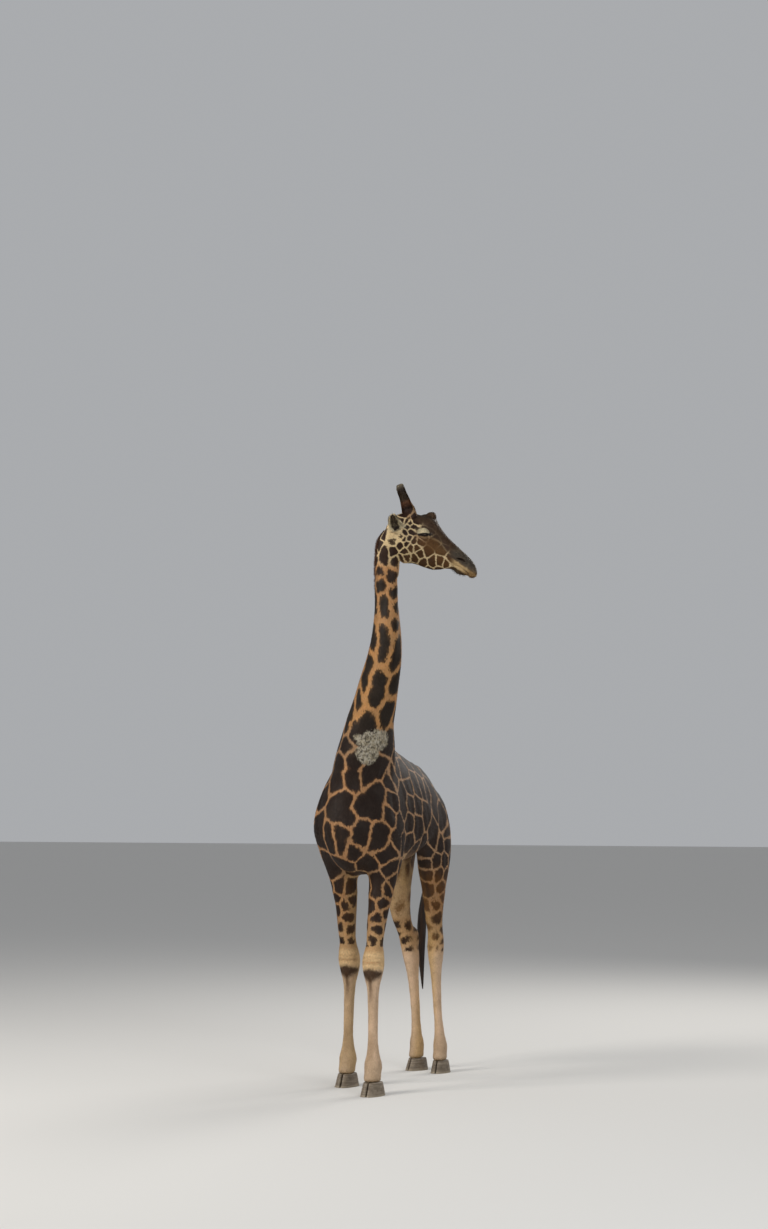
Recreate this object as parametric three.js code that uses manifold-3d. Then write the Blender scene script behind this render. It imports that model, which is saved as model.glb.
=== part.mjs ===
// A life-size giraffe bull standing with its head turned to its left.
// Millimetres, +Z up. The animal faces -Y and its left side is +X.
import * as THREE from 'three';
import { mergeVertices } from 'three/addons/utils/BufferGeometryUtils.js';
import Module from 'manifold-3d';

const wasm = await Module();
wasm.setup();

// ---------------------------------------------------------------- driving sizes
const GAP = 0.3;                 // clear space between touching pieces
const HEAD_SCALE = 1.023;        // the head's own drawing to real size
const HEAD_AT = [640, -322, 4672];
const HEAD_YAW = 24;             // degrees the head points round from +X towards +Y
const HEAD_DROP = 35;            // degrees its long axis dips below level
const EYE_RADIUS = 31;
const EYE_AT = [139, 102, 82];
const HORN_BASE = [-70, 57, 165];
const HORN_TIP = [-259, 66, 300];
const EAR_BASE = [-38, 92, -40];
const EAR_TIP = [-166, 224, 44];
const KNEE_CUT = 1180;           // fore legs part above the knee
const HOCK_CUT = 1330;           // hind legs part above the hock
const BODY_CUT_FORE = 1785;      // fore legs part from the trunk
const BODY_CUT_HIND = 1800;      // hind legs part from the trunk
const TAIL_CUT = 1846;           // the tail parts from the rump behind this y
const NECK_CUTS = [4020, 3440, 2940];
const HEAD_CUT_AT = [-6, 0, -112];
const HEAD_CUT_NORMAL = [0.666, 0, 0.746];
const HOOF_TOP = 112;            // height of the coronet
const CLEFT = 9;                 // space between the two claws of a foot
const FINE = { trunk: 18, neck: 14, head: 18, jaw: 10, leg: 10, tail: 8, mane: 6, ear: 10, horn: 10 };

const rad = THREE.MathUtils.degToRad;

// Looks of the plain solids: coat, leg coat, face, horn, eye, claw, mane.
const LOOK = {
  coat: { color: 0x2b1d16, roughness: 0.75, metalness: 0 },
  neck: { color: 0x4a2c1a, roughness: 0.75, metalness: 0 },
  leg: { color: 0xa5825c, roughness: 0.75, metalness: 0 },
  shank: { color: 0xc2a47e, roughness: 0.75, metalness: 0 },
  face: { color: 0x8a6f4d, roughness: 0.7, metalness: 0 },
  horn: { color: 0x3a322c, roughness: 0.65, metalness: 0 },
  eye: { color: 0x0d0807, roughness: 0.08, metalness: 0 },
  claw: { color: 0x6a5c4c, roughness: 0.55, metalness: 0 },
  hair: { color: 0x1b130f, roughness: 0.8, metalness: 0 },
};

// ---------------------------------------------------------------- solid helpers
// Turns the faces of a shaped geometry outwards.
function faceOut(geometry) {
  const p = geometry.getAttribute('position');
  const index = geometry.getIndex();
  const [a, b, c] = [new THREE.Vector3(), new THREE.Vector3(), new THREE.Vector3()];
  let volume = 0;
  for (let i = 0; i < index.count; i += 3) {
    a.fromBufferAttribute(p, index.getX(i));
    b.fromBufferAttribute(p, index.getX(i + 1));
    c.fromBufferAttribute(p, index.getX(i + 2));
    volume += a.dot(b.cross(c));
  }
  if (volume < 0) {
    for (let i = 0; i < index.count; i += 3) {
      const first = index.getX(i);
      index.setX(i, index.getX(i + 1));
      index.setX(i + 1, first);
    }
  }
  return geometry;
}

function toSolid(geometry) {
  geometry.deleteAttribute('normal');
  geometry.deleteAttribute('uv');
  const merged = faceOut(mergeVertices(geometry, 1e-4));
  const vertProperties = new Float32Array(merged.getAttribute('position').array);
  const triVerts = new Uint32Array(merged.getIndex().array);
  return new wasm.Manifold(new wasm.Mesh({ numProp: 3, vertProperties, triVerts }));
}

function toGeometry(solid) {
  const mesh = solid.getMesh();
  const geometry = new THREE.BufferGeometry();
  geometry.setAttribute('position', new THREE.BufferAttribute(mesh.vertProperties, 3));
  geometry.setIndex(new THREE.BufferAttribute(mesh.triVerts, 1));
  return geometry;
}

function addAll(solids) {
  return solids.reduce((whole, piece) => whole.add(piece));
}

// One point of a section: half its width across, its height above and below the widest
// line, and how full its corners are (2 is an ellipse, more is squarer, less is sharper).
function sectionPoint(angle, ring) {
  const c = Math.cos(angle);
  const s = Math.sin(angle);
  const power = 2 / (s > 0 ? ring.full : ring.fullBelow ?? ring.full);
  const across = ring.half * Math.sign(c) * Math.abs(c) ** power;
  const up = (s > 0 ? ring.above : ring.below) * Math.sign(s) * Math.abs(s) ** power;
  return [across, up];
}

// A closed drum of sections drawn over a cylinder. Each row is a station:
// [place along, ...numbers], read smoothly in between, and frame() turns those numbers
// into { at, across, up, half, above, below, full }.
function drum(rows, sides, steps, frame) {
  const width = rows[0].length - 1;
  const stations = rows.map((row) => row[0]);
  const values = rows.flatMap((row) => row.slice(1));
  const spline = new THREE.CubicInterpolant(stations, values, width, new Float64Array(width));
  const rings = (rows.length - 1) * steps;
  const geometry = new THREE.CylinderGeometry(1, 1, 1, sides, rings);
  const p = geometry.getAttribute('position');
  for (let i = 0; i < p.count; i += 1) {
    const along = (0.5 - p.getY(i)) * (rows.length - 1);
    const k = Math.min(Math.floor(along + 1e-6), rows.length - 2);
    const place = stations[k] + (along - k) * (stations[k + 1] - stations[k]);
    const ring = frame(spline.evaluate(place), place);
    const onEdge = Math.hypot(p.getX(i), p.getZ(i)) > 0.5 ? 1 : 0;
    const angle = Math.atan2(p.getZ(i), p.getX(i));
    const [x, y] = sectionPoint(angle, ring);
    const point = ring.at.clone();
    point.addScaledVector(ring.across, x * onEdge);
    point.addScaledVector(ring.up, y * onEdge);
    p.setXYZ(i, point.x, point.y, point.z);
  }
  return toSolid(geometry);
}

const X = new THREE.Vector3(1, 0, 0);
const Y = new THREE.Vector3(0, 1, 0);
const Z = new THREE.Vector3(0, 0, 1);

// A smooth lump: a sphere stretched to three half sizes and turned.
function lump(at, halves, turn = [0, 0, 0], grow = 0) {
  const geometry = new THREE.SphereGeometry(1, 10, 7);
  geometry.scale(halves[0] + grow, halves[1] + grow, halves[2] + grow);
  geometry.rotateX(rad(turn[0]));
  geometry.rotateY(rad(turn[1]));
  geometry.rotateZ(rad(turn[2]));
  geometry.translate(at[0], at[1], at[2]);
  return toSolid(geometry);
}

// ---------------------------------------------------------------- trunk
// [y, centre x, widest height, half width, rise to the back, drop to the belly,
//  fullness above, fullness below]
const TRUNK = [
  [-246, -6, 2310, 40, 70, 60, 2, 2],
  [-214, -8, 2310, 120, 180, 190, 2, 2],
  [-145, -12, 2305, 202, 290, 315, 2, 1.85],
  [-40, -16, 2300, 272, 420, 418, 2, 1.8],
  [100, -18, 2290, 328, 550, 464, 1.9, 1.8],
  [260, -18, 2280, 348, 695, 472, 1.8, 1.85],
  [430, -16, 2270, 352, 742, 450, 1.75, 1.9],
  [620, -12, 2270, 346, 716, 424, 1.75, 2],
  [860, -8, 2280, 336, 630, 384, 1.75, 2.1],
  [1090, -6, 2270, 316, 578, 305, 1.7, 2.1],
  [1300, -6, 2240, 286, 568, 184, 1.65, 2],
  [1480, -4, 2200, 248, 568, 92, 1.6, 2],
  [1630, -4, 2200, 206, 478, 84, 1.6, 2],
  [1760, -2, 2240, 146, 330, 90, 1.7, 2],
  [1830, -2, 2300, 60, 150, 90, 2, 2],
];

function trunk(grow) {
  return drum(TRUNK, FINE.trunk, 2, (v, y) => ({
    at: new THREE.Vector3(v[0], y, v[1]),
    across: X,
    up: Z,
    half: v[2] + grow,
    above: v[3] + grow,
    below: v[4] + grow,
    full: v[5],
    fullBelow: v[6],
  }));
}

// ---------------------------------------------------------------- neck
// [height, x, y, half width, front reach, back reach, twist to the left in degrees]
const NECK = [
  [2420, -24, 330, 200, 330, 300, 0],
  [2560, -8, 290, 226, 420, 350, 1],
  [2720, 26, 225, 238, 440, 372, 2],
  [2880, 78, 140, 228, 392, 360, 4],
  [3070, 150, 50, 201, 326, 308, 8],
  [3260, 232, -20, 182, 268, 256, 13],
  [3449, 317, -110, 165, 220, 208, 19],
  [3629, 390, -180, 146, 182, 168, 27],
  [3793, 432, -230, 126, 156, 140, 35],
  [3957, 453, -270, 107, 136, 118, 45],
  [4123, 461, -300, 93, 120, 104, 60],
  [4288, 473, -330, 86, 110, 95, 76],
  [4453, 498, -350, 84, 110, 98, 92],
  [4570, 534, -354, 86, 112, 112, 106],
  [4660, 572, -344, 74, 86, 100, 112],
  [4700, 592, -336, 50, 56, 64, 114],
];
const NECK_WIDTH = NECK[0].length - 1;
const NECK_SPLINE = new THREE.CubicInterpolant(
  NECK.map((row) => row[0]),
  NECK.flatMap((row) => row.slice(1)),
  NECK_WIDTH,
  new Float64Array(NECK_WIDTH),
);

function neckCentre(height) {
  const v = NECK_SPLINE.evaluate(height);
  return new THREE.Vector3(v[0], v[1], height);
}

// The neck's frame at a height: its run, its throat side and its two widths.
function neckFrame(height) {
  const at = neckCentre(height);
  const low = Math.max(NECK[0][0], height - 40);
  const high = Math.min(NECK[NECK.length - 1][0], height + 40);
  const run = neckCentre(high).sub(neckCentre(low)).normalize();
  const v = [...NECK_SPLINE.evaluate(height)];
  const twist = rad(v[5]);
  const throat = new THREE.Vector3(Math.sin(twist), -Math.cos(twist), 0);
  throat.addScaledVector(run, -throat.dot(run)).normalize();
  const across = new THREE.Vector3().crossVectors(throat, run).normalize();
  return { at, run, throat, across, half: v[2], front: v[3], back: v[4] };
}

function neck(grow) {
  return drum(NECK, FINE.neck, 2, (v, height) => {
    const f = neckFrame(height);
    return {
      at: f.at,
      across: f.across,
      up: f.throat,
      half: f.half + grow,
      above: f.front + grow,
      below: f.back + grow,
      full: 2,
    };
  });
}

// The short stiff mane: a low fin along the nape from the withers to the poll.
const MANE_FROM = 3020;
const MANE_TO = 4670;
const MANE_HEIGHT = 30;
const MANE_HALF = 16;
const MANE_ROOT = 30;            // how deep the fin sits in the neck
const MANE_RINGS = 12;

function mane() {
  const rows = [];
  for (let k = 0; k <= MANE_RINGS; k += 1) {
    const rise = Math.sin(Math.min(1, k / 2, (MANE_RINGS - k) / 1.1) * Math.PI / 2);
    rows.push([MANE_FROM + (MANE_TO - MANE_FROM) * (k / MANE_RINGS), rise]);
  }
  return drum(rows, FINE.mane, 1, (v, height) => {
    const f = neckFrame(height);
    const rise = Math.max(0.12, v[0]);
    return {
      at: f.at.clone().addScaledVector(f.throat, -f.back),
      across: f.across,
      up: f.throat.clone().negate(),
      half: MANE_HALF,
      above: MANE_HEIGHT * rise,
      below: MANE_ROOT,
      full: 1.7,
    };
  });
}

// ---------------------------------------------------------------- legs
// Fore leg: [height, x out from the middle, y, half width, front reach, back reach, fullness]
const FORE_LEG = [
  [112, 0, 0, 74, 92, 84, 2],
  [200, 0, 16, 74, 70, 84, 2.2],
  [250, 0, 22, 78, 68, 84, 2.2],
  [310, 0, 26, 62, 58, 68, 2.1],
  [400, 0, 30, 49, 50, 58, 2.1],
  [560, 0, 38, 46, 48, 56, 2.1],
  [740, 0, 48, 49, 50, 58, 2.1],
  [880, 0, 56, 57, 58, 62, 2.1],
  [1020, 0, 64, 90, 84, 78, 2.3],
  [1100, 0, 68, 97, 86, 82, 2.3],
  [1170, 0, 74, 88, 78, 80, 2.2],
  [1240, 0, 84, 73, 74, 84, 2.1],
  [1360, 0, 108, 76, 86, 98, 2],
  [1550, 0, 160, 92, 108, 124, 2],
  [1720, 0, 205, 114, 138, 158, 2],
  [1850, 0, 232, 130, 165, 192, 2],
  [2000, 0, 240, 138, 225, 250, 1.9],
  [2200, 0, 232, 126, 330, 276, 1.7],
  [2400, 0, 252, 116, 310, 276, 1.7],
  [2600, 0, 292, 104, 240, 244, 1.8],
  [2780, 0, 335, 84, 150, 172, 2],
  [2900, 0, 365, 40, 70, 80, 2],
];
// Where a fore leg's middle runs: [height, x of the left leg, x of the right leg,
// how far the left foot is ahead, how far the right foot is behind]
const FORE_PATH = [
  [0, 218, -226, -28, 416],
  [250, 198, -220, 0, 398],
  [600, 180, -204, 24, 362],
  [1090, 176, -184, 14, 306],
  [1300, 186, -178, 2, 220],
  [1550, 188, -182, 6, 138],
  [1850, 205, -212, 0, 40],
  [2000, 222, -244, 0, 10],
  [2200, 238, -274, 0, 0],
  [2450, 220, -262, 0, 0],
  [2660, 172, -206, 0, 0],
  [2900, 108, -136, 0, 0],
];
// Hind leg, same columns.
const HIND_LEG = [
  [112, 0, 0, 66, 86, 78, 2],
  [200, 0, 12, 64, 62, 76, 2.2],
  [250, 0, 18, 66, 60, 76, 2.2],
  [320, 0, 24, 52, 52, 62, 2.1],
  [440, 0, 34, 42, 48, 56, 2.1],
  [620, 0, 46, 42, 48, 58, 2.1],
  [800, 0, 60, 46, 54, 66, 2.1],
  [920, 0, 70, 53, 66, 80, 2.1],
  [1010, 0, 76, 64, 80, 92, 2.2],
  [1100, 0, 76, 72, 84, 98, 2.2],
  [1180, 0, 66, 72, 84, 108, 2.1],
  [1250, 0, 40, 68, 86, 116, 1.9],
  [1360, 0, -16, 74, 98, 116, 1.9],
  [1500, 0, -78, 86, 116, 136, 2],
  [1650, 0, -130, 102, 152, 182, 2],
  [1800, 0, -165, 120, 212, 250, 2],
  [1950, 0, -168, 126, 262, 308, 2],
  [2120, 0, -160, 124, 290, 340, 2],
  [2300, 0, -158, 112, 296, 330, 2],
  [2480, 0, -160, 82, 230, 262, 2],
  [2580, 0, -165, 40, 120, 130, 2],
];
const HIND_PATH = [
  [0, 158, -112, 1598, 1690],
  [250, 148, -118, 1598, 1676],
  [600, 112, -138, 1600, 1662],
  [1090, 82, -200, 1600, 1654],
  [1350, 106, -226, 1596, 1622],
  [1600, 144, -212, 1596, 1606],
  [1850, 162, -196, 1598, 1600],
  [2120, 158, -176, 1600, 1600],
  [2350, 138, -150, 1600, 1600],
  [2600, 108, -116, 1600, 1600],
];
const HIND_TURN = { left: 0, right: 20 };   // toes of the right hind foot turn out

function smoothTable(rows) {
  const width = rows[0].length - 1;
  const values = rows.flatMap((row) => row.slice(1));
  return new THREE.CubicInterpolant(rows.map((row) => row[0]), values, width, new Float64Array(width));
}

const FORE_TRACK = smoothTable(FORE_PATH);
const HIND_TRACK = smoothTable(HIND_PATH);

function legMiddle(end, side, height) {
  const track = (end === 'fore' ? FORE_TRACK : HIND_TRACK).evaluate(height);
  const right = side === 'left' ? 0 : 1;
  return [track[right], track[2 + right]];
}

// How much of the foot's turn a height keeps: all at the hock and below, none at the hip.
function legTurn(end, side, height) {
  const turn = end === 'hind' ? HIND_TURN[side] : 0;
  const keep = THREE.MathUtils.clamp((1900 - height) / 600, 0, 1);
  return rad(turn * keep * (side === 'left' ? 1 : -1));
}

function leg(end, side, grow) {
  const rows = end === 'fore' ? FORE_LEG : HIND_LEG;
  return drum(rows, FINE.leg, 1, (v, height) => {
    const [x, y] = legMiddle(end, side, height);
    const turn = legTurn(end, side, height);
    return {
      at: new THREE.Vector3(x + v[0], y + v[1], height),
      across: X.clone().applyAxisAngle(Z, turn),
      up: Y.clone().negate().applyAxisAngle(Z, turn),
      half: v[2] + grow,
      above: v[3] + grow,
      below: v[4] + grow,
      full: v[5],
    };
  });
}

// The heel bone that stands back and up from each hock.
const HEEL = { height: 1205, back: 128, set: 20, halves: [40, 44, 105], lean: 12 };

function heel(side, grow) {
  const [x, y] = legMiddle('hind', side, HEEL.height);
  const turn = legTurn('hind', side, HEEL.height);
  const back = new THREE.Vector3(0, HEEL.back, 0).applyAxisAngle(Z, turn);
  const at = [x + back.x, y + back.y + HEEL.set, HEEL.height];
  return lump(at, HEEL.halves, [HEEL.lean, 0, THREE.MathUtils.radToDeg(turn)], grow);
}

// ---------------------------------------------------------------- tail
// [place, x, y, height, half width]
const TAIL = [
  [0, 0, 1700, 2490, 64],
  [1, 0, 1800, 2460, 56],
  [2, -8, 1872, 2385, 43],
  [3, -28, 1912, 2270, 34],
  [4, -62, 1940, 2110, 27],
  [5, -98, 1958, 1930, 23],
  [6, -130, 1970, 1750, 21],
  [7, -150, 1976, 1640, 18],
];
const TUFT = [
  [0, -150, 1976, 1639, 17],
  [1, -164, 1984, 1560, 36],
  [2, -182, 1998, 1420, 54],
  [3, -196, 2008, 1260, 58],
  [4, -200, 2008, 1100, 48],
  [5, -194, 2000, 950, 34],
  [6, -184, 1988, 820, 21],
  [7, -174, 1976, 700, 7],
];

function rope(rows, sides, grow, wide = 1) {
  const track = smoothTable(rows);
  const point = (k) => new THREE.Vector3(...track.evaluate(k).slice(0, 3));
  const last = rows.length - 1;
  return drum(rows, sides, 1, (v, k) => {
    const at = new THREE.Vector3(v[0], v[1], v[2]);
    const half = v[3];
    const run = point(Math.min(last, k + 0.1)).sub(point(Math.max(0, k - 0.1))).normalize();
    const across = new THREE.Vector3().crossVectors(run, Y).normalize();
    const up = new THREE.Vector3().crossVectors(across, run).normalize();
    return { at, across, up, half: half * wide + grow, above: half + grow, below: half + grow, full: 2 };
  });
}

// ---------------------------------------------------------------- head
// The head is drawn facing +X with its left side +Y, then scaled, dipped and turned.
const HEAD_PLACE = new THREE.Matrix4().compose(
  new THREE.Vector3(...HEAD_AT),
  new THREE.Quaternion().setFromEuler(new THREE.Euler(0, rad(HEAD_DROP), rad(HEAD_YAW), 'ZYX')),
  new THREE.Vector3(HEAD_SCALE, HEAD_SCALE, HEAD_SCALE),
);

// Skull and upper face: [along, widest height, half width, rise, drop, fullness above, below]
const FACE = [
  [-150, 5, 40, 50, 50, 2, 2],
  [-136, 0, 82, 92, 104, 2, 2],
  [-96, -6, 106, 146, 156, 2, 2.1],
  [-40, 10, 114, 172, 206, 2.1, 2.2],
  [30, 40, 118, 174, 244, 2.2, 2.2],
  [90, 68, 122, 160, 272, 2.3, 2.15],
  [140, 84, 122, 154, 284, 2.3, 2.1],
  [190, 86, 110, 137, 254, 2.2, 2.05],
  [240, 82, 95, 121, 232, 2.1, 2],
  [300, 74, 80, 110, 207, 2.1, 2],
  [380, 68, 68, 102, 166, 2.1, 2],
  [425, 64, 64, 100, 108, 2.2, 2],
  [460, 62, 63, 96, 64, 2.2, 2.2],
  [520, 62, 65, 88, 50, 2.3, 2.2],
  [575, 62, 66, 76, 54, 2.3, 2.2],
  [620, 58, 60, 60, 46, 2.3, 2.2],
  [652, 52, 47, 42, 34, 2.2, 2.2],
  [676, 44, 26, 22, 20, 2, 2],
  [684, 42, 8, 7, 7, 2, 2],
];
// Chin and lower lip.
const JAW = [
  [330, 0, 34, 40, 60, 2, 2],
  [390, -14, 50, 50, 72, 2, 2],
  [440, 4, 46, 40, 48, 2, 2],
  [495, 14, 44, 26, 32, 2.1, 2],
  [550, 12, 43, 18, 34, 2.1, 2],
  [590, 14, 34, 13, 22, 2, 2],
  [612, 18, 16, 8, 10, 2, 2],
];
// Rounded swellings: [middle, half sizes, turn in degrees], the paired ones for the left side.
const MEDIAN_BUMP = [[93, 0, 230], [58, 42, 55], [0, 18, 0]];
const UPPER_LIP = [[632, 0, 44], [48, 46, 34], [0, 34, 0]];
const BROW = [[134, 92, 122], [64, 36, 26], [-24, 14, -14]];
const NOSTRIL = [[552, 46, 92], [60, 25, 28], [0, 14, 0]];

function headFrame(v, x, grow) {
  return {
    at: new THREE.Vector3(x, 0, v[0]),
    across: Y,
    up: Z,
    half: v[1] + grow,
    above: v[2] + grow,
    below: v[3] + grow,
    full: v[4],
    fullBelow: v[5],
  };
}

function bothSides(build) {
  return addAll([build(1), build(-1)]);
}

function sideLump([at, halves, turn], s, grow) {
  return lump([at[0], s * at[1], at[2]], halves, [s * turn[0], turn[1], s * turn[2]], grow);
}

function headFlesh(grow) {
  const face = drum(FACE, FINE.head, 1, (v, x) => headFrame(v, x, grow));
  const jaw = drum(JAW, FINE.jaw, 1, (v, x) => headFrame(v, x, grow));
  const middle = [MEDIAN_BUMP, UPPER_LIP].map((swelling) => lump(...swelling, grow));
  const pairs = [BROW, NOSTRIL].map((swelling) => bothSides((s) => sideLump(swelling, s, grow)));
  return addAll([face, jaw, ...middle, ...pairs]);
}

// How far an end ring moves outwards when its piece is grown.
function endReach(rows, k, grow) {
  if (k <= rows[0][0]) return -grow;
  return k >= rows[rows.length - 1][0] ? grow : 0;
}

// A straight round piece between two points, with a radius at each station.
function spike(from, to, rows, sides, steps, grow, flat = 1) {
  const start = new THREE.Vector3(...from);
  const end = new THREE.Vector3(...to);
  const run = end.clone().sub(start);
  const length = run.length();
  run.normalize();
  const across = new THREE.Vector3().crossVectors(run, Z).normalize();
  const up = new THREE.Vector3().crossVectors(across, run).normalize();
  return drum(rows, sides, steps, (v, k) => ({
    at: start.clone().addScaledVector(run, k * length + endReach(rows, k, grow)),
    across,
    up,
    half: v[0] * flat + grow,
    above: v[0] + grow,
    below: v[0] + grow,
    full: 2,
  }));
}

// Horn radii from the skull to the worn knob.
const HORN = [
  [-0.3, 50],
  [0.04, 53],
  [0.16, 45],
  [0.3, 37.5],
  [0.5, 31.5],
  [0.7, 28],
  [0.86, 28.5],
  [0.95, 29.5],
  [0.995, 22],
  [1.01, 9],
];

function horn(side, grow) {
  const flip = side === 'left' ? 1 : -1;
  const from = [HORN_BASE[0], flip * HORN_BASE[1], HORN_BASE[2]];
  const to = [HORN_TIP[0], flip * HORN_TIP[1], HORN_TIP[2]];
  return spike(from, to, HORN, FINE.horn, 1, grow, 0.92);
}

function eye(side, grow) {
  const flip = side === 'left' ? 1 : -1;
  const geometry = new THREE.SphereGeometry(EYE_RADIUS + grow, 12, 8);
  geometry.translate(EYE_AT[0], flip * EYE_AT[1], EYE_AT[2]);
  return toSolid(geometry);
}

// Ear: [along, half width, depth of the back, depth of the front, fullness]
const EAR = [
  [-0.1, 24, 24, 22, 2],
  [0.08, 29, 28, 22, 2],
  [0.22, 42, 32, 16, 2],
  [0.4, 54, 31, 13, 2],
  [0.58, 53, 26, 11, 2],
  [0.76, 41, 20, 9, 2],
  [0.9, 24, 13, 7, 2],
  [1, 6, 5, 3, 2],
];
const EAR_FACING = new THREE.Vector3(0.78, 0.56, -0.12);
const EAR_WALL = 10;

function earFrame(side) {
  const flip = side === 'left' ? 1 : -1;
  const from = new THREE.Vector3(EAR_BASE[0], flip * EAR_BASE[1], EAR_BASE[2]);
  const run = new THREE.Vector3(EAR_TIP[0], flip * EAR_TIP[1], EAR_TIP[2]).sub(from);
  const length = run.length();
  run.normalize();
  const facing = new THREE.Vector3(EAR_FACING.x, flip * EAR_FACING.y, EAR_FACING.z);
  facing.addScaledVector(run, -facing.dot(run)).normalize();
  const across = new THREE.Vector3().crossVectors(run, facing).normalize();
  const middle = (k, reach = 0) => from.clone().addScaledVector(run, k * length + reach);
  return { middle, across, up: facing.negate() };
}

function earShell(side, grow) {
  const f = earFrame(side);
  return drum(EAR, FINE.ear, 1, (v, k) => ({
    at: f.middle(k, endReach(EAR, k, grow)),
    across: f.across,
    up: f.up,
    half: v[0] + grow,
    above: v[1] + grow,
    below: v[2] + grow,
    full: v[3],
  }));
}

// The ear's hollow, open towards the front.
function earBowl(side) {
  const f = earFrame(side);
  const deep = EAR.slice(3, 7).map((row) => [row[0], row[1] - EAR_WALL, row[2] - EAR_WALL]);
  const rows = [[0.2, 10, 2], [0.27, 32, 17], ...deep, [0.96, 4, 2]];
  return drum(rows, FINE.ear, 1, (v, k) => ({
    at: f.middle(k),
    across: f.across,
    up: f.up,
    half: v[0],
    above: v[1],
    below: 60,
    full: 2,
  }));
}

// ---------------------------------------------------------------- claws
const CLAW = {
  fore: { length: 256, width: 90, height: HOOF_TOP, back: 0.4 },
  hind: { length: 230, width: 79, height: HOOF_TOP, back: 0.42 },
};

// A claw's outline on the ground: straight inside, bowed outside, narrow at the toe.
function clawOutline(size) {
  const toe = -size.length * (1 - size.back);
  const rear = size.length * size.back;
  const wide = size.width;
  const shape = new THREE.Shape();
  shape.moveTo(0, toe + 10);
  shape.quadraticCurveTo(wide * 0.34, toe - 4, wide * 0.66, toe + 44);
  shape.quadraticCurveTo(wide * 1.02, toe + 104, wide, rear - 78);
  shape.quadraticCurveTo(wide * 0.94, rear - 2, wide * 0.5, rear);
  shape.quadraticCurveTo(wide * 0.1, rear, 0, rear - 34);
  shape.closePath();
  return shape;
}

// One claw: the outline drawn up to the coronet, steep at the toe, flat underneath.
function claw(end, side, outer) {
  const size = CLAW[end];
  const out = (side === 'left' ? 1 : -1) * (outer ? 1 : -1);
  const geometry = new THREE.ExtrudeGeometry(clawOutline(size), {
    depth: size.height - GAP,
    steps: 2,
    curveSegments: 3,
    bevelEnabled: false,
  });
  const p = geometry.getAttribute('position');
  for (let i = 0; i < p.count; i += 1) {
    const lift = p.getZ(i) / size.height;
    const slope = p.getY(i) < 0 ? 0.36 : 0.12;
    const across = CLEFT / 2 + p.getX(i) * (1 - 0.24 * lift ** 1.2);
    p.setXYZ(i, out * across, p.getY(i) * (1 - slope * lift), p.getZ(i));
  }
  const [x, y] = legMiddle(end, side, 0);
  geometry.rotateZ(legTurn(end, side, 0));
  geometry.translate(x, y, 0);
  return toSolid(geometry);
}

// ---------------------------------------------------------------- joining and parting
const SIDES = ['left', 'right'];

function moved(solid, matrix) {
  return toSolid(toGeometry(solid).applyMatrix4(matrix));
}

function wholeFlesh(grow) {
  const legs = SIDES.flatMap((side) => [
    leg('fore', side, grow),
    leg('hind', side, grow),
    heel(side, grow),
  ]);
  const head = moved(headFlesh(grow), HEAD_PLACE);
  return addAll([trunk(grow), neck(grow), rope(TAIL, FINE.tail, grow), head, ...legs]);
}

// A big block whose face is the plane through `at` across `normal`, set off by `gap`.
const BLOCK = 6000;

function beyond(at, normal, gap) {
  const geometry = new THREE.BoxGeometry(BLOCK, BLOCK, BLOCK);
  geometry.translate(0, 0, BLOCK / 2 + gap);
  geometry.applyQuaternion(new THREE.Quaternion().setFromUnitVectors(Z, normal));
  geometry.translate(at.x, at.y, at.z);
  return toSolid(geometry);
}

// Splits a solid at a plane into what lies before it and what lies beyond it.
function partAt(solid, at, normal) {
  const near = solid.subtract(beyond(at, normal, -GAP / 2));
  const far = solid.intersect(beyond(at, normal, GAP / 2));
  return [near, far];
}

// A block given by its two opposite corners.
function block(low, high) {
  const size = high.map((value, i) => value - low[i]);
  const geometry = new THREE.BoxGeometry(...size);
  geometry.translate(...low.map((value, i) => value + size[i] / 2));
  return toSolid(geometry);
}

// Takes what lies in the block off a solid: [the rest, the piece].
function takeOut(solid, low, high) {
  const piece = solid.intersect(block(low, high));
  const lowClear = low.map((value) => value - GAP);
  const highClear = high.map((value) => value + GAP);
  return [solid.subtract(block(lowClear, highClear)), piece];
}

// Keeps only the connected piece that holds the most material.
function mainPiece(solid) {
  return solid.decompose().reduce((best, piece) => (piece.volume() > best.volume() ? piece : best));
}

const BETWEEN_LEGS = 860;        // y between the fore and hind legs
const BEHIND_LEGS = 1890;        // y behind the hocks and ahead of the hanging tail
const pieces = {};

const sockets = SIDES.flatMap((side) => [eye(side, GAP), horn(side, GAP), earShell(side, GAP)]);
const clearance = wholeFlesh(GAP);
let rest = wholeFlesh(0).subtract(moved(addAll(sockets), HEAD_PLACE));

// Legs come off first, each below the body, then part above the knee or the hock.
for (const side of SIDES) {
  const xs = side === 'left' ? [0, 900] : [-900, 0];
  for (const end of ['fore', 'hind']) {
    const top = end === 'fore' ? BODY_CUT_FORE : BODY_CUT_HIND;
    const ys = end === 'fore' ? [-900, BETWEEN_LEGS] : [BETWEEN_LEGS, BEHIND_LEGS];
    const [left, limb] = takeOut(rest, [xs[0], ys[0], -100], [xs[1], ys[1], top]);
    rest = left;
    const joint = new THREE.Vector3(0, 0, end === 'fore' ? KNEE_CUT : HOCK_CUT);
    const [lower, upper] = partAt(mainPiece(limb), joint, Z);
    pieces[`${end}_leg_upper_${side}`] = [upper, 'leg'];
    pieces[`${end}_leg_lower_${side}`] = [lower, 'shank'];
    pieces[`${end}_claw_outer_${side}`] = [claw(end, side, true), 'claw'];
    pieces[`${end}_claw_inner_${side}`] = [claw(end, side, false), 'claw'];
  }
}

// Tail: off the rump, then its tuft.
const [tailless, tail] = takeOut(rest, [-400, TAIL_CUT, 1500], [400, 2600, 2700]);
pieces.tail = [mainPiece(tail), 'coat'];
pieces.tail_tuft = [rope(TUFT, FINE.tail, 0), 'hair'];

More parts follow.
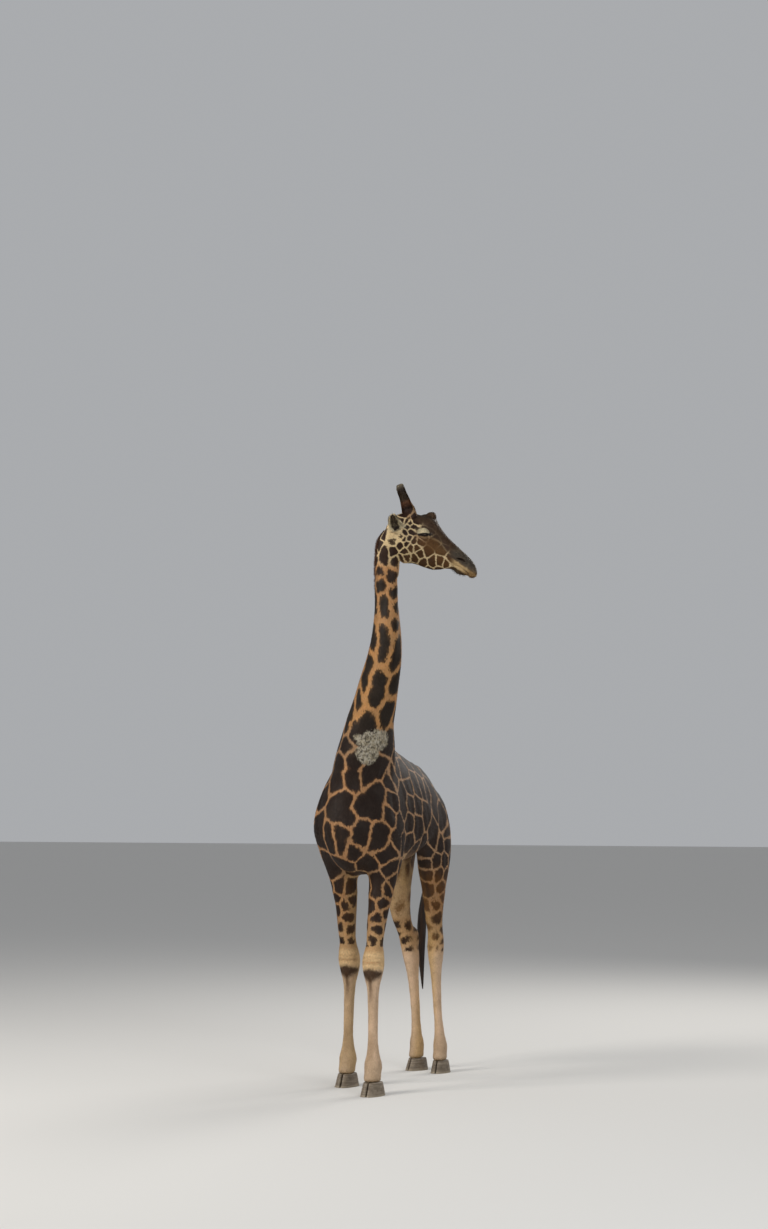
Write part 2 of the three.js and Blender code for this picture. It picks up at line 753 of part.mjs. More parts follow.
// Head and neck lengths.
const headCut = new THREE.Vector3(...HEAD_CUT_AT).applyMatrix4(HEAD_PLACE);
const headNormal = new THREE.Vector3(...HEAD_CUT_NORMAL).transformDirection(HEAD_PLACE);
const [headless, head] = partAt(tailless, headCut, headNormal);
pieces.head = [mainPiece(head), 'face'];
let below = headless;
for (const [name, height] of [['upper', NECK_CUTS[0]], ['middle', NECK_CUTS[1]], ['lower', NECK_CUTS[2]]]) {
  const f = neckFrame(height);
  const [near, far] = partAt(below, f.at, f.run);
  pieces[`neck_${name}`] = [mainPiece(far), 'neck'];
  below = near;
}
pieces.mane = [mainPiece(partAt(mane().subtract(clearance), headCut, headNormal)[0]), 'hair'];
pieces.trunk = [mainPiece(below), 'coat'];

// Ears, horns and eyes are set in the head.
SIDES.forEach((side) => {
  pieces[`eye_${side}`] = [moved(eye(side, 0), HEAD_PLACE), 'eye'];
  pieces[`horn_${side}`] = [moved(horn(side, 0), HEAD_PLACE), 'horn'];
  const cupped = earShell(side, 0).subtract(earBowl(side));
  pieces[`ear_${side}`] = [moved(mainPiece(cupped), HEAD_PLACE), 'face'];
});

// ---------------------------------------------------------------- the scene
const HEAD_NODES = ['head', 'eye_left', 'eye_right', 'horn_left', 'horn_right', 'ear_left', 'ear_right'];

// A mesh whose own origin is the middle of its box.
function meshOf(name, geometry, look) {
  geometry.computeBoundingBox();
  const middle = geometry.boundingBox.getCenter(new THREE.Vector3());
  geometry.translate(-middle.x, -middle.y, -middle.z);
  const mesh = new THREE.Mesh(geometry, new THREE.MeshStandardMaterial(LOOK[look]));
  mesh.name = name;
  mesh.position.copy(middle);
  return mesh;
}

const giraffe = new THREE.Group();
const headGroup = new THREE.Group();
headGroup.position.set(...HEAD_AT);
headGroup.rotation.set(0, rad(HEAD_DROP), rad(HEAD_YAW), 'ZYX');
headGroup.updateMatrix();
giraffe.add(headGroup);
const toHead = headGroup.matrix.clone().invert();

for (const [name, [solid, look]] of Object.entries(pieces)) {
  const geometry = toGeometry(solid);
  if (HEAD_NODES.includes(name)) {
    headGroup.add(meshOf(name, geometry.applyMatrix4(toHead), look));
  } else {
    giraffe.add(meshOf(name, geometry, look));
  }
}

// The origin is the middle of the footprint, on the ground.
giraffe.updateMatrixWorld(true);
const box = new THREE.Box3().setFromObject(giraffe, true);
const centre = box.getCenter(new THREE.Vector3());
giraffe.position.set(-centre.x, -centre.y, -box.min.z);

export default giraffe;
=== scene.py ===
# %% [markdown]
# # A life-size giraffe bull
# This lesson builds the looks of a still, life-size giraffe round a finished frame of plain
# solids. The frame gives every size and place. Here the animal gets one smooth skin, lids and
# folds, markings, eyes, horns, hooves, and a short coat made of thousands of thin hair tufts.

# %% Load the frame
import math
import time
import bpy
import bmesh
import numpy as np
from mathutils import Euler, Matrix, Quaternion, Vector


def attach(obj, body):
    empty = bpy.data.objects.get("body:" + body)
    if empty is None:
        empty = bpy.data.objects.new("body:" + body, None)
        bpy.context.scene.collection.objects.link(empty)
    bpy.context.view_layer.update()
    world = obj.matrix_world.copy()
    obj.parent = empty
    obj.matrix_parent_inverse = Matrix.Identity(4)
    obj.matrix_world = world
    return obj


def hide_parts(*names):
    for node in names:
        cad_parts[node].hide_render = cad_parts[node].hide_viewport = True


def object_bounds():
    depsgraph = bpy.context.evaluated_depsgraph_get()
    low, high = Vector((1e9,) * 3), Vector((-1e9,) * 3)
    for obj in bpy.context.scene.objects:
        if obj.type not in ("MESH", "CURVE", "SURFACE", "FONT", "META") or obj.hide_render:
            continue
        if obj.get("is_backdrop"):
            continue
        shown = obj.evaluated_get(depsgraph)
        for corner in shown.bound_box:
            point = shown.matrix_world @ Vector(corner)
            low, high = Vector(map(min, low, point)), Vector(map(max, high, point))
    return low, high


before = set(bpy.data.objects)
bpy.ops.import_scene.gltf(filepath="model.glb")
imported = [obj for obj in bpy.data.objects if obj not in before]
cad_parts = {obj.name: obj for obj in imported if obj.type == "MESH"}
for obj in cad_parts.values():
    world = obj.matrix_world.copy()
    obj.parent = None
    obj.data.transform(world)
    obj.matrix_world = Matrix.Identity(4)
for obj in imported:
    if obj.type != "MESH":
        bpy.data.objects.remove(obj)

started = time.time()
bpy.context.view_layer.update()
luck = np.random.default_rng(7)


# %% [markdown]
# ## Small helpers
# Blender's operators act on whatever is selected, so each step first deselects everything and
# then selects what it needs. The helpers below keep that habit in one place.

# %% Selecting and editing
def only(*objects):
    """Selects these objects and nothing else."""
    if bpy.context.object and bpy.context.object.mode != "OBJECT":
        bpy.ops.object.mode_set(mode="OBJECT")
    bpy.ops.object.select_all(action="DESELECT")
    for o in objects:
        o.select_set(True)
    bpy.context.view_layer.objects.active = objects[0]
    return objects[0]


def editing(piece, kind="VERT"):
    only(piece)
    bpy.ops.object.mode_set(mode="EDIT")
    bpy.ops.mesh.select_mode(type=kind)
    bpy.ops.mesh.select_all(action="DESELECT")


def done():
    bpy.ops.object.mode_set(mode="OBJECT")


def points_of(piece):
    flat = np.empty(len(piece.data.vertices) * 3)
    piece.data.vertices.foreach_get("co", flat)
    return flat.reshape(-1, 3)


def set_points(piece, points):
    piece.data.vertices.foreach_set("co", np.ascontiguousarray(points, dtype=np.float64).ravel())
    piece.data.update()


def normals_of(piece):
    flat = np.empty(len(piece.data.vertices) * 3)
    piece.data.vertices.foreach_get("normal", flat)
    return flat.reshape(-1, 3)


def choose(piece, picked):
    """Selects vertices by a true/false row, in object mode, with their faces."""
    picked = np.asarray(picked, bool)
    data = piece.data
    data.vertices.foreach_set("select", picked)
    ends = np.empty(len(data.edges) * 2, np.int32)
    data.edges.foreach_get("vertices", ends)
    data.edges.foreach_set("select", picked[ends.reshape(-1, 2)].all(1))
    starts = np.empty(len(data.polygons), np.int32)
    data.polygons.foreach_get("loop_start", starts)
    corners = np.empty(len(data.loops), np.int32)
    data.loops.foreach_get("vertex_index", corners)
    data.polygons.foreach_set("select", np.logical_and.reduceat(picked[corners], starts))


def apply_modifier(piece, kind, **settings):
    only(piece)
    modifier = piece.modifiers.new(kind.title(), kind)
    for key, value in settings.items():
        setattr(modifier, key, value)
    bpy.ops.object.modifier_apply(modifier=modifier.name)
    return piece


def joined(name, pieces):
    """Joins pieces into the first one."""
    only(pieces[0], *pieces[1:])
    bpy.ops.object.join()
    pieces[0].name = pieces[0].data.name = name
    return pieces[0]


def soften(piece, picked, factor, repeat):
    """Evens out the picked vertices, as a sculptor's smoothing brush does."""
    choose(piece, picked)
    only(piece)
    bpy.ops.object.mode_set(mode="EDIT")
    bpy.ops.mesh.select_mode(type="VERT")
    bpy.ops.mesh.vertices_smooth(factor=factor, repeat=repeat)
    done()


def ease(value, low, high):
    """0 below low, 1 above high, with a soft S between."""
    t = np.clip((np.asarray(value, float) - low) / (high - low), 0, 1)
    return t * t * (3 - 2 * t)


def unit(rows):
    rows = np.asarray(rows, float)
    return rows / np.maximum(np.linalg.norm(rows, axis=-1, keepdims=True), 1e-12)


# %% [markdown]
# ## Limbs from section tables
# A limb is a tube whose section changes along its length. Each table lists a few sections and
# a smooth curve is read between them. A flat grid is rolled up round the limb, its seam is
# merged and its two ends are filled. All tables are in millimetres, with the animal facing -Y.

# %% Reading a table smoothly
class Smooth:
    """Numbers read smoothly between the rows of a table: [place, ...numbers]."""

    def __init__(self, rows):
        rows = np.array(rows, float)
        self.t, self.v = rows[:, 0], rows[:, 1:]

    def __call__(self, place):
        t, v = self.t, self.v
        place = np.atleast_1d(np.asarray(place, float))
        i = np.clip(np.searchsorted(t, place, side="right") - 1, 0, len(t) - 2)
        before, after = np.maximum(i - 1, 0), np.minimum(i + 2, len(t) - 1)
        t0, t1 = t[i], t[i + 1]
        half = (t1 - t0) / 2
        tp = np.where(i == 0, 2 * t0 - t1, t[before])
        tn = np.where(i == len(t) - 2, 2 * t1 - t0, t[after])
        vp = np.where((i == 0)[:, None], v[i], v[before])
        vn = np.where((i == len(t) - 2)[:, None], v[i + 1], v[after])
        wp, wn = half / (t0 - tp), half / (tn - t1)
        p = np.clip((place - t0) / (t1 - t0), 0, 1)
        p2, p3 = p * p, p * p * p
        sp = -wp * p3 + 2 * wp * p2 - wp * p
        s0 = (1 + wp) * p3 + (-1.5 - 2 * wp) * p2 + (-0.5 + wp) * p + 1
        s1 = (-1 - wn) * p3 + (1.5 + wn) * p2 + 0.5 * p
        sn = wn * p3 - wn * p2
        return sp[:, None] * vp + s0[:, None] * v[i] + s1[:, None] * v[i + 1] + sn[:, None] * vn


def rolled(name, rows, sides, steps, section):
    """Rolls a grid round a limb. section(numbers, places) gives at, across, up, half, above,
    below, full and full_below for every ring."""
    rings = (len(rows) - 1) * steps
    bpy.ops.mesh.primitive_grid_add(x_subdivisions=sides, y_subdivisions=rings, size=2)
    tube = bpy.context.object
    tube.name = tube.data.name = name
    flat = points_of(tube)
    turn = (flat[:, 0] + 1) * math.pi
    along = (flat[:, 1] + 1) / 2 * (len(rows) - 1)
    table = Smooth(rows)
    k = np.minimum(np.floor(along + 1e-6).astype(int), len(rows) - 2)
    place = table.t[k] + (along - k) * (table.t[k + 1] - table.t[k])
    s = section(table(place), place)
    c, n = np.cos(turn), np.sin(turn)
    power = 2 / np.where(n > 0, s["full"], s["full_below"])
    x = s["half"] * np.sign(c) * np.abs(c) ** power
    y = np.where(n > 0, s["above"], s["below"]) * np.sign(n) * np.abs(n) ** power
    set_points(tube, s["at"] + s["across"] * x[:, None] + s["up"] * y[:, None])
    editing(tube)
    bpy.ops.mesh.select_all(action="SELECT")
    bpy.ops.mesh.remove_doubles(threshold=1e-4)
    bpy.ops.mesh.select_all(action="SELECT")
    bpy.ops.mesh.fill_holes(sides=0)
    bpy.ops.mesh.select_all(action="SELECT")
    bpy.ops.mesh.normals_make_consistent(inside=False)
    done()
    return tube


def lump(name, at, halves, turn=(0, 0, 0)):
    """A rounded swelling: a sphere stretched and turned."""
    bpy.ops.mesh.primitive_uv_sphere_add(segments=32, ring_count=20, radius=1)
    ball = bpy.context.object
    ball.name = name
    spin = Matrix.Rotation(math.radians(turn[2]), 4, "Z") @ Matrix.Rotation(math.radians(turn[1]), 4, "Y")
    spin = spin @ Matrix.Rotation(math.radians(turn[0]), 4, "X")
    ball.data.transform(Matrix.Translation(at) @ spin @ Matrix.Diagonal((*halves, 1)))
    return ball


# %% [markdown]
# ## Sizes of the body
# These are the same sections that the frame was drawn with. The skin is drawn a coat's depth
# inside them, so that the tips of the hair reach the frame's surface.

# %% Body tables
COAT = {"body": 9.0, "leg": 5.0, "head": 3.5}      # depth of the coat over the skin
ROW_SHIFT = np.array([-402.5, -742.4, 0.0])         # the animal's own axes to the frame's

TRUNK = [
    [-246, -6, 2310, 40, 70, 60, 2, 2], [-214, -8, 2310, 120, 180, 190, 2, 2],
    [-145, -12, 2305, 202, 290, 315, 2, 1.85], [-40, -16, 2300, 272, 420, 418, 2, 1.8],
    [100, -18, 2290, 328, 550, 464, 1.9, 1.8], [260, -18, 2280, 348, 695, 472, 1.8, 1.85],
    [430, -16, 2270, 352, 742, 450, 1.75, 1.9], [620, -12, 2270, 346, 716, 424, 1.75, 2],
    [860, -8, 2280, 336, 630, 384, 1.75, 2.1], [1090, -6, 2270, 316, 578, 305, 1.7, 2.1],
    [1300, -6, 2240, 286, 568, 184, 1.65, 2], [1480, -4, 2200, 248, 568, 92, 1.6, 2],
    [1630, -4, 2200, 206, 478, 84, 1.6, 2], [1760, -2, 2240, 146, 330, 90, 1.7, 2],
    [1830, -2, 2300, 60, 150, 90, 2, 2],
]
NECK = [
    [2420, -24, 330, 200, 330, 300, 0], [2560, -8, 290, 226, 420, 350, 1],
    [2720, 26, 225, 238, 440, 372, 2], [2880, 78, 140, 228, 392, 360, 4],
    [3070, 150, 50, 201, 326, 308, 8], [3260, 232, -20, 182, 268, 256, 13],
    [3449, 317, -110, 165, 220, 208, 19], [3629, 390, -180, 146, 182, 168, 27],
    [3793, 432, -230, 126, 156, 140, 35], [3957, 453, -270, 107, 136, 118, 45],
    [4123, 461, -300, 93, 120, 104, 60], [4288, 473, -330, 86, 110, 95, 76],
    [4453, 498, -350, 84, 110, 98, 92], [4570, 534, -354, 86, 112, 112, 106],
    [4660, 572, -344, 74, 86, 100, 112], [4700, 592, -336, 50, 56, 64, 114],
]
LEGS = {
    "fore": [
        [112, 0, 74, 92, 84, 2], [200, 16, 74, 70, 84, 2.2], [250, 22, 78, 68, 84, 2.2],
        [310, 26, 62, 58, 68, 2.1], [400, 30, 49, 50, 58, 2.1], [560, 38, 46, 48, 56, 2.1],
        [740, 48, 49, 50, 58, 2.1], [880, 56, 57, 58, 62, 2.1], [1020, 64, 90, 84, 78, 2.3],
        [1100, 68, 97, 86, 82, 2.3], [1170, 74, 88, 78, 80, 2.2], [1240, 84, 73, 74, 84, 2.1],
        [1360, 108, 76, 86, 98, 2], [1550, 160, 92, 108, 124, 2], [1720, 205, 114, 138, 158, 2],
        [1850, 232, 130, 165, 192, 2], [2000, 240, 138, 225, 250, 1.9],
        [2200, 232, 126, 330, 276, 1.7], [2400, 252, 116, 310, 276, 1.7],
        [2600, 292, 104, 240, 244, 1.8], [2780, 335, 84, 150, 172, 2], [2900, 365, 40, 70, 80, 2],
    ],
    "hind": [
        [112, 0, 66, 86, 78, 2], [200, 12, 64, 62, 76, 2.2], [250, 18, 66, 60, 76, 2.2],
        [320, 24, 52, 52, 62, 2.1], [440, 34, 42, 48, 56, 2.1], [620, 46, 42, 48, 58, 2.1],
        [800, 60, 46, 54, 66, 2.1], [920, 70, 53, 66, 80, 2.1], [1010, 76, 64, 80, 92, 2.2],
        [1100, 76, 72, 84, 98, 2.2], [1180, 66, 72, 84, 108, 2.1], [1250, 40, 68, 86, 116, 1.9],
        [1360, -16, 74, 98, 116, 1.9], [1500, -78, 86, 116, 136, 2],
        [1650, -130, 102, 152, 182, 2], [1800, -165, 120, 212, 250, 2],
        [1950, -168, 126, 262, 308, 2], [2120, -160, 124, 290, 340, 2],
        [2300, -158, 112, 296, 330, 2], [2480, -160, 82, 230, 262, 2],
        [2580, -165, 40, 120, 130, 2],
    ],
}
# Where each leg's middle runs: [height, left x, right x, left y, right y].
PATHS = {
    "fore": [
        [0, 218, -226, -28, 416], [250, 198, -220, 0, 398], [600, 180, -204, 24, 362],
        [1090, 176, -184, 14, 306], [1300, 186, -178, 2, 220], [1550, 188, -182, 6, 138],
        [1850, 205, -212, 0, 40], [2000, 222, -244, 0, 10], [2200, 238, -274, 0, 0],
        [2450, 220, -262, 0, 0], [2660, 172, -206, 0, 0], [2900, 108, -136, 0, 0],
    ],
    "hind": [
        [0, 158, -112, 1598, 1690], [250, 148, -118, 1598, 1676], [600, 112, -138, 1600, 1662],
        [1090, 82, -200, 1600, 1654], [1350, 106, -226, 1596, 1622],
        [1600, 144, -212, 1596, 1606], [1850, 162, -196, 1598, 1600],
        [2120, 158, -176, 1600, 1600], [2350, 138, -150, 1600, 1600],
        [2600, 108, -116, 1600, 1600],
    ],
}
TAIL = [
    [0, 0, 1700, 2490, 64], [1, 0, 1800, 2460, 56], [2, -8, 1872, 2385, 43],
    [3, -28, 1912, 2270, 34], [4, -62, 1940, 2110, 27], [5, -98, 1958, 1930, 23],
    [6, -130, 1970, 1750, 21], [7, -150, 1976, 1640, 18],
]
print("sections:", len(TRUNK) + len(NECK) + len(TAIL) + sum(map(len, LEGS.values())))


# %% [markdown]
# ## Trunk, neck, legs and tail
# Each is rolled up on its own and they overlap freely, because they are merged later. The
# legs lean and the right hind foot turns out, so a leg's middle follows its own path.

# %% Rolling the body's parts
def spread(axis, count):
    return np.tile(np.array(axis, float), (count, 1))


def trunk_section(v, place):
    n = len(place)
    d = COAT["body"]
    at = np.stack([v[:, 0], place, v[:, 1]], 1)
    return dict(at=at, across=spread((1, 0, 0), n), up=spread((0, 0, 1), n), half=v[:, 2] - d,
                above=v[:, 3] - d, below=v[:, 4] - d, full=v[:, 5], full_below=v[:, 6])


NECK_LINE = Smooth(NECK)


def neck_axes(height):
    """The neck's middle, run, throat side and width side at some heights."""
    height = np.atleast_1d(np.asarray(height, float))
    v = NECK_LINE(height)
    low, high = np.maximum(NECK[0][0], height - 40), np.minimum(NECK[-1][0], height + 40)
    start, end = NECK_LINE(low), NECK_LINE(high)
    run = unit(np.column_stack([end[:, :2] - start[:, :2], high - low]))
    twist = np.radians(v[:, 5])
    throat = np.column_stack([np.sin(twist), -np.cos(twist), np.zeros(len(v))])
    throat = unit(throat - run * (throat * run).sum(1)[:, None])
    at = np.column_stack([v[:, :2], height])
    return at, run, throat, np.cross(throat, run)


def neck_section(v, place):
    at, run, throat, across = neck_axes(place)
    d = COAT["leg"] + (COAT["body"] - COAT["leg"]) * ease(place, 4500, 3000)
    two = np.full(len(place), 2.0)
    return dict(at=at, across=across, up=throat, half=v[:, 2] - d, above=v[:, 3] - d,
                below=v[:, 4] - d, full=two, full_below=two)


TRACK = {end: Smooth(rows) for end, rows in PATHS.items()}
RIGHT_FOOT_TURN = 20


def leg_middle(end, side, height):
    track = TRACK[end](height)
    k = 0 if side == "left" else 1
    return track[:, [k, k + 2]]


def leg_turn(end, side, height):
    if end == "fore" or side == "left":
        return np.zeros(np.shape(height))
    return -np.radians(RIGHT_FOOT_TURN * np.clip((1900 - np.asarray(height, float)) / 600, 0, 1))


def leg_section(end, side):
    def section(v, place):
        middle = leg_middle(end, side, place)
        turn = leg_turn(end, side, place)
        d = COAT["leg"] + (COAT["body"] - COAT["leg"]) * ease(place, 1400, 2200)
        at = np.column_stack([middle[:, 0], middle[:, 1] + v[:, 0], place])
        across = np.column_stack([np.cos(turn), np.sin(turn), 0 * turn])
        up = np.column_stack([np.sin(turn), -np.cos(turn), 0 * turn])
        return dict(at=at, across=across, up=up, half=v[:, 1] - d, above=v[:, 2] - d,
                    below=v[:, 3] - d, full=v[:, 4], full_below=v[:, 4])
    return section


def tail_section(v, place):
    line = Smooth(TAIL)
    run = unit(line(np.minimum(7, place + 0.1))[:, :3] - line(np.maximum(0, place - 0.1))[:, :3])
    across = unit(np.cross(run, spread((0, 1, 0), len(place))))
    half = v[:, 3] - COAT["leg"]
    two = np.full(len(place), 2.0)
    return dict(at=v[:, :3], across=across, up=unit(np.cross(across, run)), half=half,
                above=half, below=half, full=two, full_below=two)


SIDES = ("left", "right")
HEEL = {"height": 1205, "back": 128, "set": 20, "halves": (36, 40, 100), "lean": 12}


def heel(side):
    """The heel bone that stands back and up from a hock."""
    x, y = leg_middle("hind", side, [HEEL["height"]])[0]
    turn = leg_turn("hind", side, [HEEL["height"]])[0]
    back = (-math.sin(turn) * HEEL["back"], math.cos(turn) * HEEL["back"] + HEEL["set"])
    at = (x + back[0], y + back[1], HEEL["height"])
    return lump("heel_" + side, at, HEEL["halves"], (HEEL["lean"], 0, math.degrees(turn)))


def body_parts():
    parts = [rolled("trunk_skin", TRUNK, 56, 6, trunk_section),
             rolled("neck_skin", NECK, 48, 6, neck_section),
             rolled("tail_skin", TAIL, 24, 8, tail_section)]
    for side in SIDES:
        for end in ("fore", "hind"):
            parts.append(rolled(f"{end}_{side}", LEGS[end], 32, 5, leg_section(end, side)))
        parts.append(heel(side))
    return parts


body = joined("body", body_parts())
print("body parts joined:", len(body.data.polygons), "faces")


# %% [markdown]
# ## Head
# The head is drawn on its own, facing +X with its left side at +Y, then dipped and turned into
# place. It is a skull tube, a chin tube, a few rounded swellings and two cupped ears. Each ear
# is a shell with a smaller bowl cut out of it by a Boolean modifier.

# %% Head tables
HEAD_SCALE, HEAD_AT = 1.023, (640, -322, 4672)
HEAD_YAW, HEAD_DROP = 24, 35
HEAD_PLACE = Matrix.LocRotScale(
    Vector(HEAD_AT),
    Matrix.Rotation(math.radians(HEAD_YAW), 3, "Z") @ Matrix.Rotation(math.radians(HEAD_DROP), 3, "Y"),
    Vector((HEAD_SCALE,) * 3))
FACE = [
    [-150, 5, 40, 50, 50, 2, 2], [-136, 0, 82, 92, 104, 2, 2], [-96, -6, 106, 146, 156, 2, 2.1],
    [-40, 10, 114, 167, 206, 2.1, 2.2], [30, 40, 118, 164, 244, 2.2, 2.2],
    [90, 68, 122, 160, 272, 2.3, 2.15], [140, 84, 122, 154, 284, 2.3, 2.1],
    [190, 86, 110, 137, 254, 2.2, 2.05], [240, 82, 95, 121, 232, 2.1, 2],
    [300, 74, 80, 110, 207, 2.1, 2], [380, 68, 68, 102, 166, 2.1, 2],
    [425, 64, 64, 100, 108, 2.2, 2], [460, 62, 63, 96, 64, 2.2, 2.2],
    [520, 62, 65, 88, 50, 2.3, 2.2], [575, 62, 66, 76, 54, 2.3, 2.2],
    [620, 58, 60, 60, 46, 2.3, 2.2], [652, 52, 47, 42, 34, 2.2, 2.2],
    [676, 44, 26, 22, 20, 2, 2], [684, 42, 8, 7, 7, 2, 2],
]
JAW = [
    [330, 0, 34, 40, 60, 2, 2], [390, -14, 50, 50, 72, 2, 2], [440, 4, 46, 40, 48, 2, 2],
    [495, 14, 44, 26, 32, 2.1, 2], [550, 12, 43, 18, 34, 2.1, 2], [590, 14, 34, 13, 22, 2, 2],
    [612, 18, 16, 8, 10, 2, 2],
]
EAR = [
    [-0.1, 24, 24, 22], [0.08, 29, 28, 22], [0.22, 42, 32, 16], [0.4, 54, 31, 13],
    [0.58, 53, 26, 11], [0.76, 41, 20, 9], [0.9, 24, 13, 7], [1, 6, 5, 3],
]
EAR_BOWL = [
    [0.2, 9, 2], [0.27, 28, 14], [0.4, 40, 18], [0.58, 39, 13.5], [0.76, 27, 8.5],
    [0.9, 11, 3], [0.95, 4, 1.5],
]
EAR_BASE, EAR_TIP = np.array([-38.0, 92, -40]), np.array([-166.0, 224, 44])
EAR_FACING = np.array([0.78, 0.56, -0.12])


# %% Rolling the head's parts
def head_section(v, place):
    n = len(place)
    d = COAT["head"]
    at = np.stack([place, np.zeros(n), v[:, 0]], 1)
    return dict(at=at, across=spread((0, 1, 0), n), up=spread((0, 0, 1), n),
                half=np.maximum(v[:, 1] - d, 3), above=np.maximum(v[:, 2] - d, 3),
                below=np.maximum(v[:, 3] - d, 3), full=v[:, 4], full_below=v[:, 5])


def ear_axes(s):
    flip = np.array([1, s, 1])
    base, tip = EAR_BASE * flip, EAR_TIP * flip
    run = unit(tip - base)
    facing = EAR_FACING * flip
    facing = unit(facing - run * (facing @ run))
    return base, tip - base, np.cross(run, facing), -facing


def ear_section(s, inside):
    def section(v, place):
        base, reach, across, up = ear_axes(s)
        n = len(place)
        two = np.full(n, 2.0)
        thin = COAT["head"] * (0 if inside else 1)
        below = np.full(n, 60.0) if inside else np.maximum(v[:, 2] - 1, 2)
        return dict(at=base + place[:, None] * reach, across=spread(across, n), up=spread(up, n),
                    half=np.maximum(v[:, 0] - thin, 2), above=np.maximum(v[:, 1] - thin, 2),
                    below=below, full=two, full_below=two)
    return section


def ear(s):
    shell = rolled("ear", EAR, 40, 6, ear_section(s, False))
    bowl = rolled("bowl", EAR_BOWL, 32, 6, ear_section(s, True))
    apply_modifier(shell, "BOOLEAN", object=bowl, operation="DIFFERENCE", solver="EXACT")
    bpy.data.objects.remove(bowl)
    return shell


def paired(s, at, halves, turn):
    return lump("swelling", (at[0], s * at[1], at[2]), halves, (s * turn[0], turn[1], s * turn[2]))


def head_parts():
    parts = [rolled("face", FACE, 56, 5, head_section), rolled("jaw", JAW, 40, 5, head_section),
             lump("median", (103, 0, 236), (42, 33, 44), (0, 26, 0)),
             lump("median_base", (114, 0, 190), (84, 54, 58)),
             lump("lip", (632, 0, 44), (45, 43, 31), (0, 34, 0))]
    for s in (1, -1):
        parts.append(paired(s, (134, 90, 120), (62, 34, 24), (-24, 14, -14)))
        parts.append(paired(s, (552, 44, 90), (58, 24, 26), (0, 14, 0)))
        parts.append(ear(s))
    return parts


head = joined("head_solid", head_parts())
head.data.transform(HEAD_PLACE)
NECK_JOIN = 4330                     # height of the neck where head and body meshes meet
stub_rows = [row for row in NECK if row[0] >= 3957]
head = joined("head_solid", [head, rolled("stub", stub_rows, 48, 6, neck_section)])
print("head parts joined:", len(head.data.polygons), "faces")


# %% [markdown]
# ## One skin
# A Remesh modifier in voxel mode melts overlapping solids into one closed surface. The head
# needs finer cells than the body, so each is remeshed on its own, both are cut square across
# the upper neck, and the two rims are bridged. The result is one skin with no seam.

# %% Melting and bridging
BODY_CELL, HEAD_CELL = 17.0, 5.2
RIM_GAP = 9


def side_of_join(points):
    at, run, _, _ = neck_axes([NECK_JOIN])
    return (points - at[0]) @ run[0], at[0], run[0]


def cut_at_join(piece, keep_above):
    far, at, run = side_of_join(points_of(piece))
    at = at + run * (RIM_GAP if keep_above else -RIM_GAP)
    editing(piece)
    bpy.ops.mesh.select_all(action="SELECT")
    bpy.ops.mesh.bisect(plane_co=at, plane_no=run, clear_inner=keep_above, clear_outer=not keep_above)
    done()


apply_modifier(body, "REMESH", mode="VOXEL", voxel_size=BODY_CELL)
apply_modifier(head, "REMESH", mode="VOXEL", voxel_size=HEAD_CELL)
print("remeshed:", len(body.data.polygons), len(head.data.polygons))


def blend_weight(points):
    """True where the limbs run into the trunk and need a broad, soft junction."""
    x, y, z = points.T
    shoulder = (z > 1690) & (z < 3150) & (y < 900)
    hip = (z > 1640) & (z < 2750) & (y > 1050)
    return (shoulder | hip) & ~on_tail(points)


def on_tail(points):
    """The tail is thin and would melt away under the smoothing brush."""
    x, y, z = points.T
    return (z < 2420) & (y > 1838) | (z < 2080) & (y > 1790) & (x < -60)


soften(body, ~on_tail(points_of(body)), 0.5, 4)
soften(body, on_tail(points_of(body)), 0.3, 2)
soften(body, blend_weight(points_of(body)), 0.5, 26)
soften(head, np.ones(len(head.data.vertices), bool), 0.5, 6)
cut_at_join(body, False)
cut_at_join(head, True)
skin = joined("skin", [body, head])
editing(skin, "EDGE")
bpy.ops.mesh.select_non_manifold(extend=False, use_wire=False, use_multi_face=False,
                                 use_non_contiguous=False, use_verts=False)
bpy.ops.mesh.bridge_edge_loops()
bpy.ops.mesh.select_all(action="SELECT")
bpy.ops.mesh.normals_make_consistent(inside=False)
done()
far, _, _ = side_of_join(points_of(skin))
soften(skin, np.abs(far) < 110, 0.5, 8)
soften(skin, np.abs(far) < 50, 0.5, 14)
check = bmesh.new()
check.from_mesh(skin.data)
print("skin:", len(skin.data.polygons), "faces, open edges:", sum(e.is_boundary for e in check.edges),
      "seconds:", round(time.time() - started, 1))
check.free()


# %% [markdown]
# ## Fine cells where the detail is
# Lids and nostrils need cells of a few millimetres, so faces there are subdivided. The front
# knees get one more level too, for their pads and folds.

# %% Subdividing by place
HEAD_TO_BODY = np.array(HEAD_PLACE)
BODY_TO_HEAD = np.array(HEAD_PLACE.inverted())
EYE_RADIUS = 31.0
EYE_AT = np.array([139.0, 102, 82])
NOSTRIL_AT = np.array([508.0, 66, 84])


def in_head(points):
    return points @ BODY_TO_HEAD[:3, :3].T + BODY_TO_HEAD[:3, 3]


def from_head(points):
    return points @ HEAD_TO_BODY[:3, :3].T + HEAD_TO_BODY[:3, 3]


def refine(piece, picked, cuts=1):
    choose(piece, picked)
    only(piece)
    bpy.ops.object.mode_set(mode="EDIT")
    bpy.ops.mesh.select_mode(type="FACE")
    bpy.ops.mesh.subdivide(number_cuts=cuts, smoothness=0)
    done()


def near_eyes(points, reach):
    p = in_head(points)
    return np.linalg.norm(np.abs(p) * [1, 1, 1] - EYE_AT * [1, 1, 1], axis=1) < reach


def near_nostrils(points, reach):
    p = in_head(points)
    return np.linalg.norm((np.abs(p) - NOSTRIL_AT) * [0.6, 1, 1], axis=1) < reach


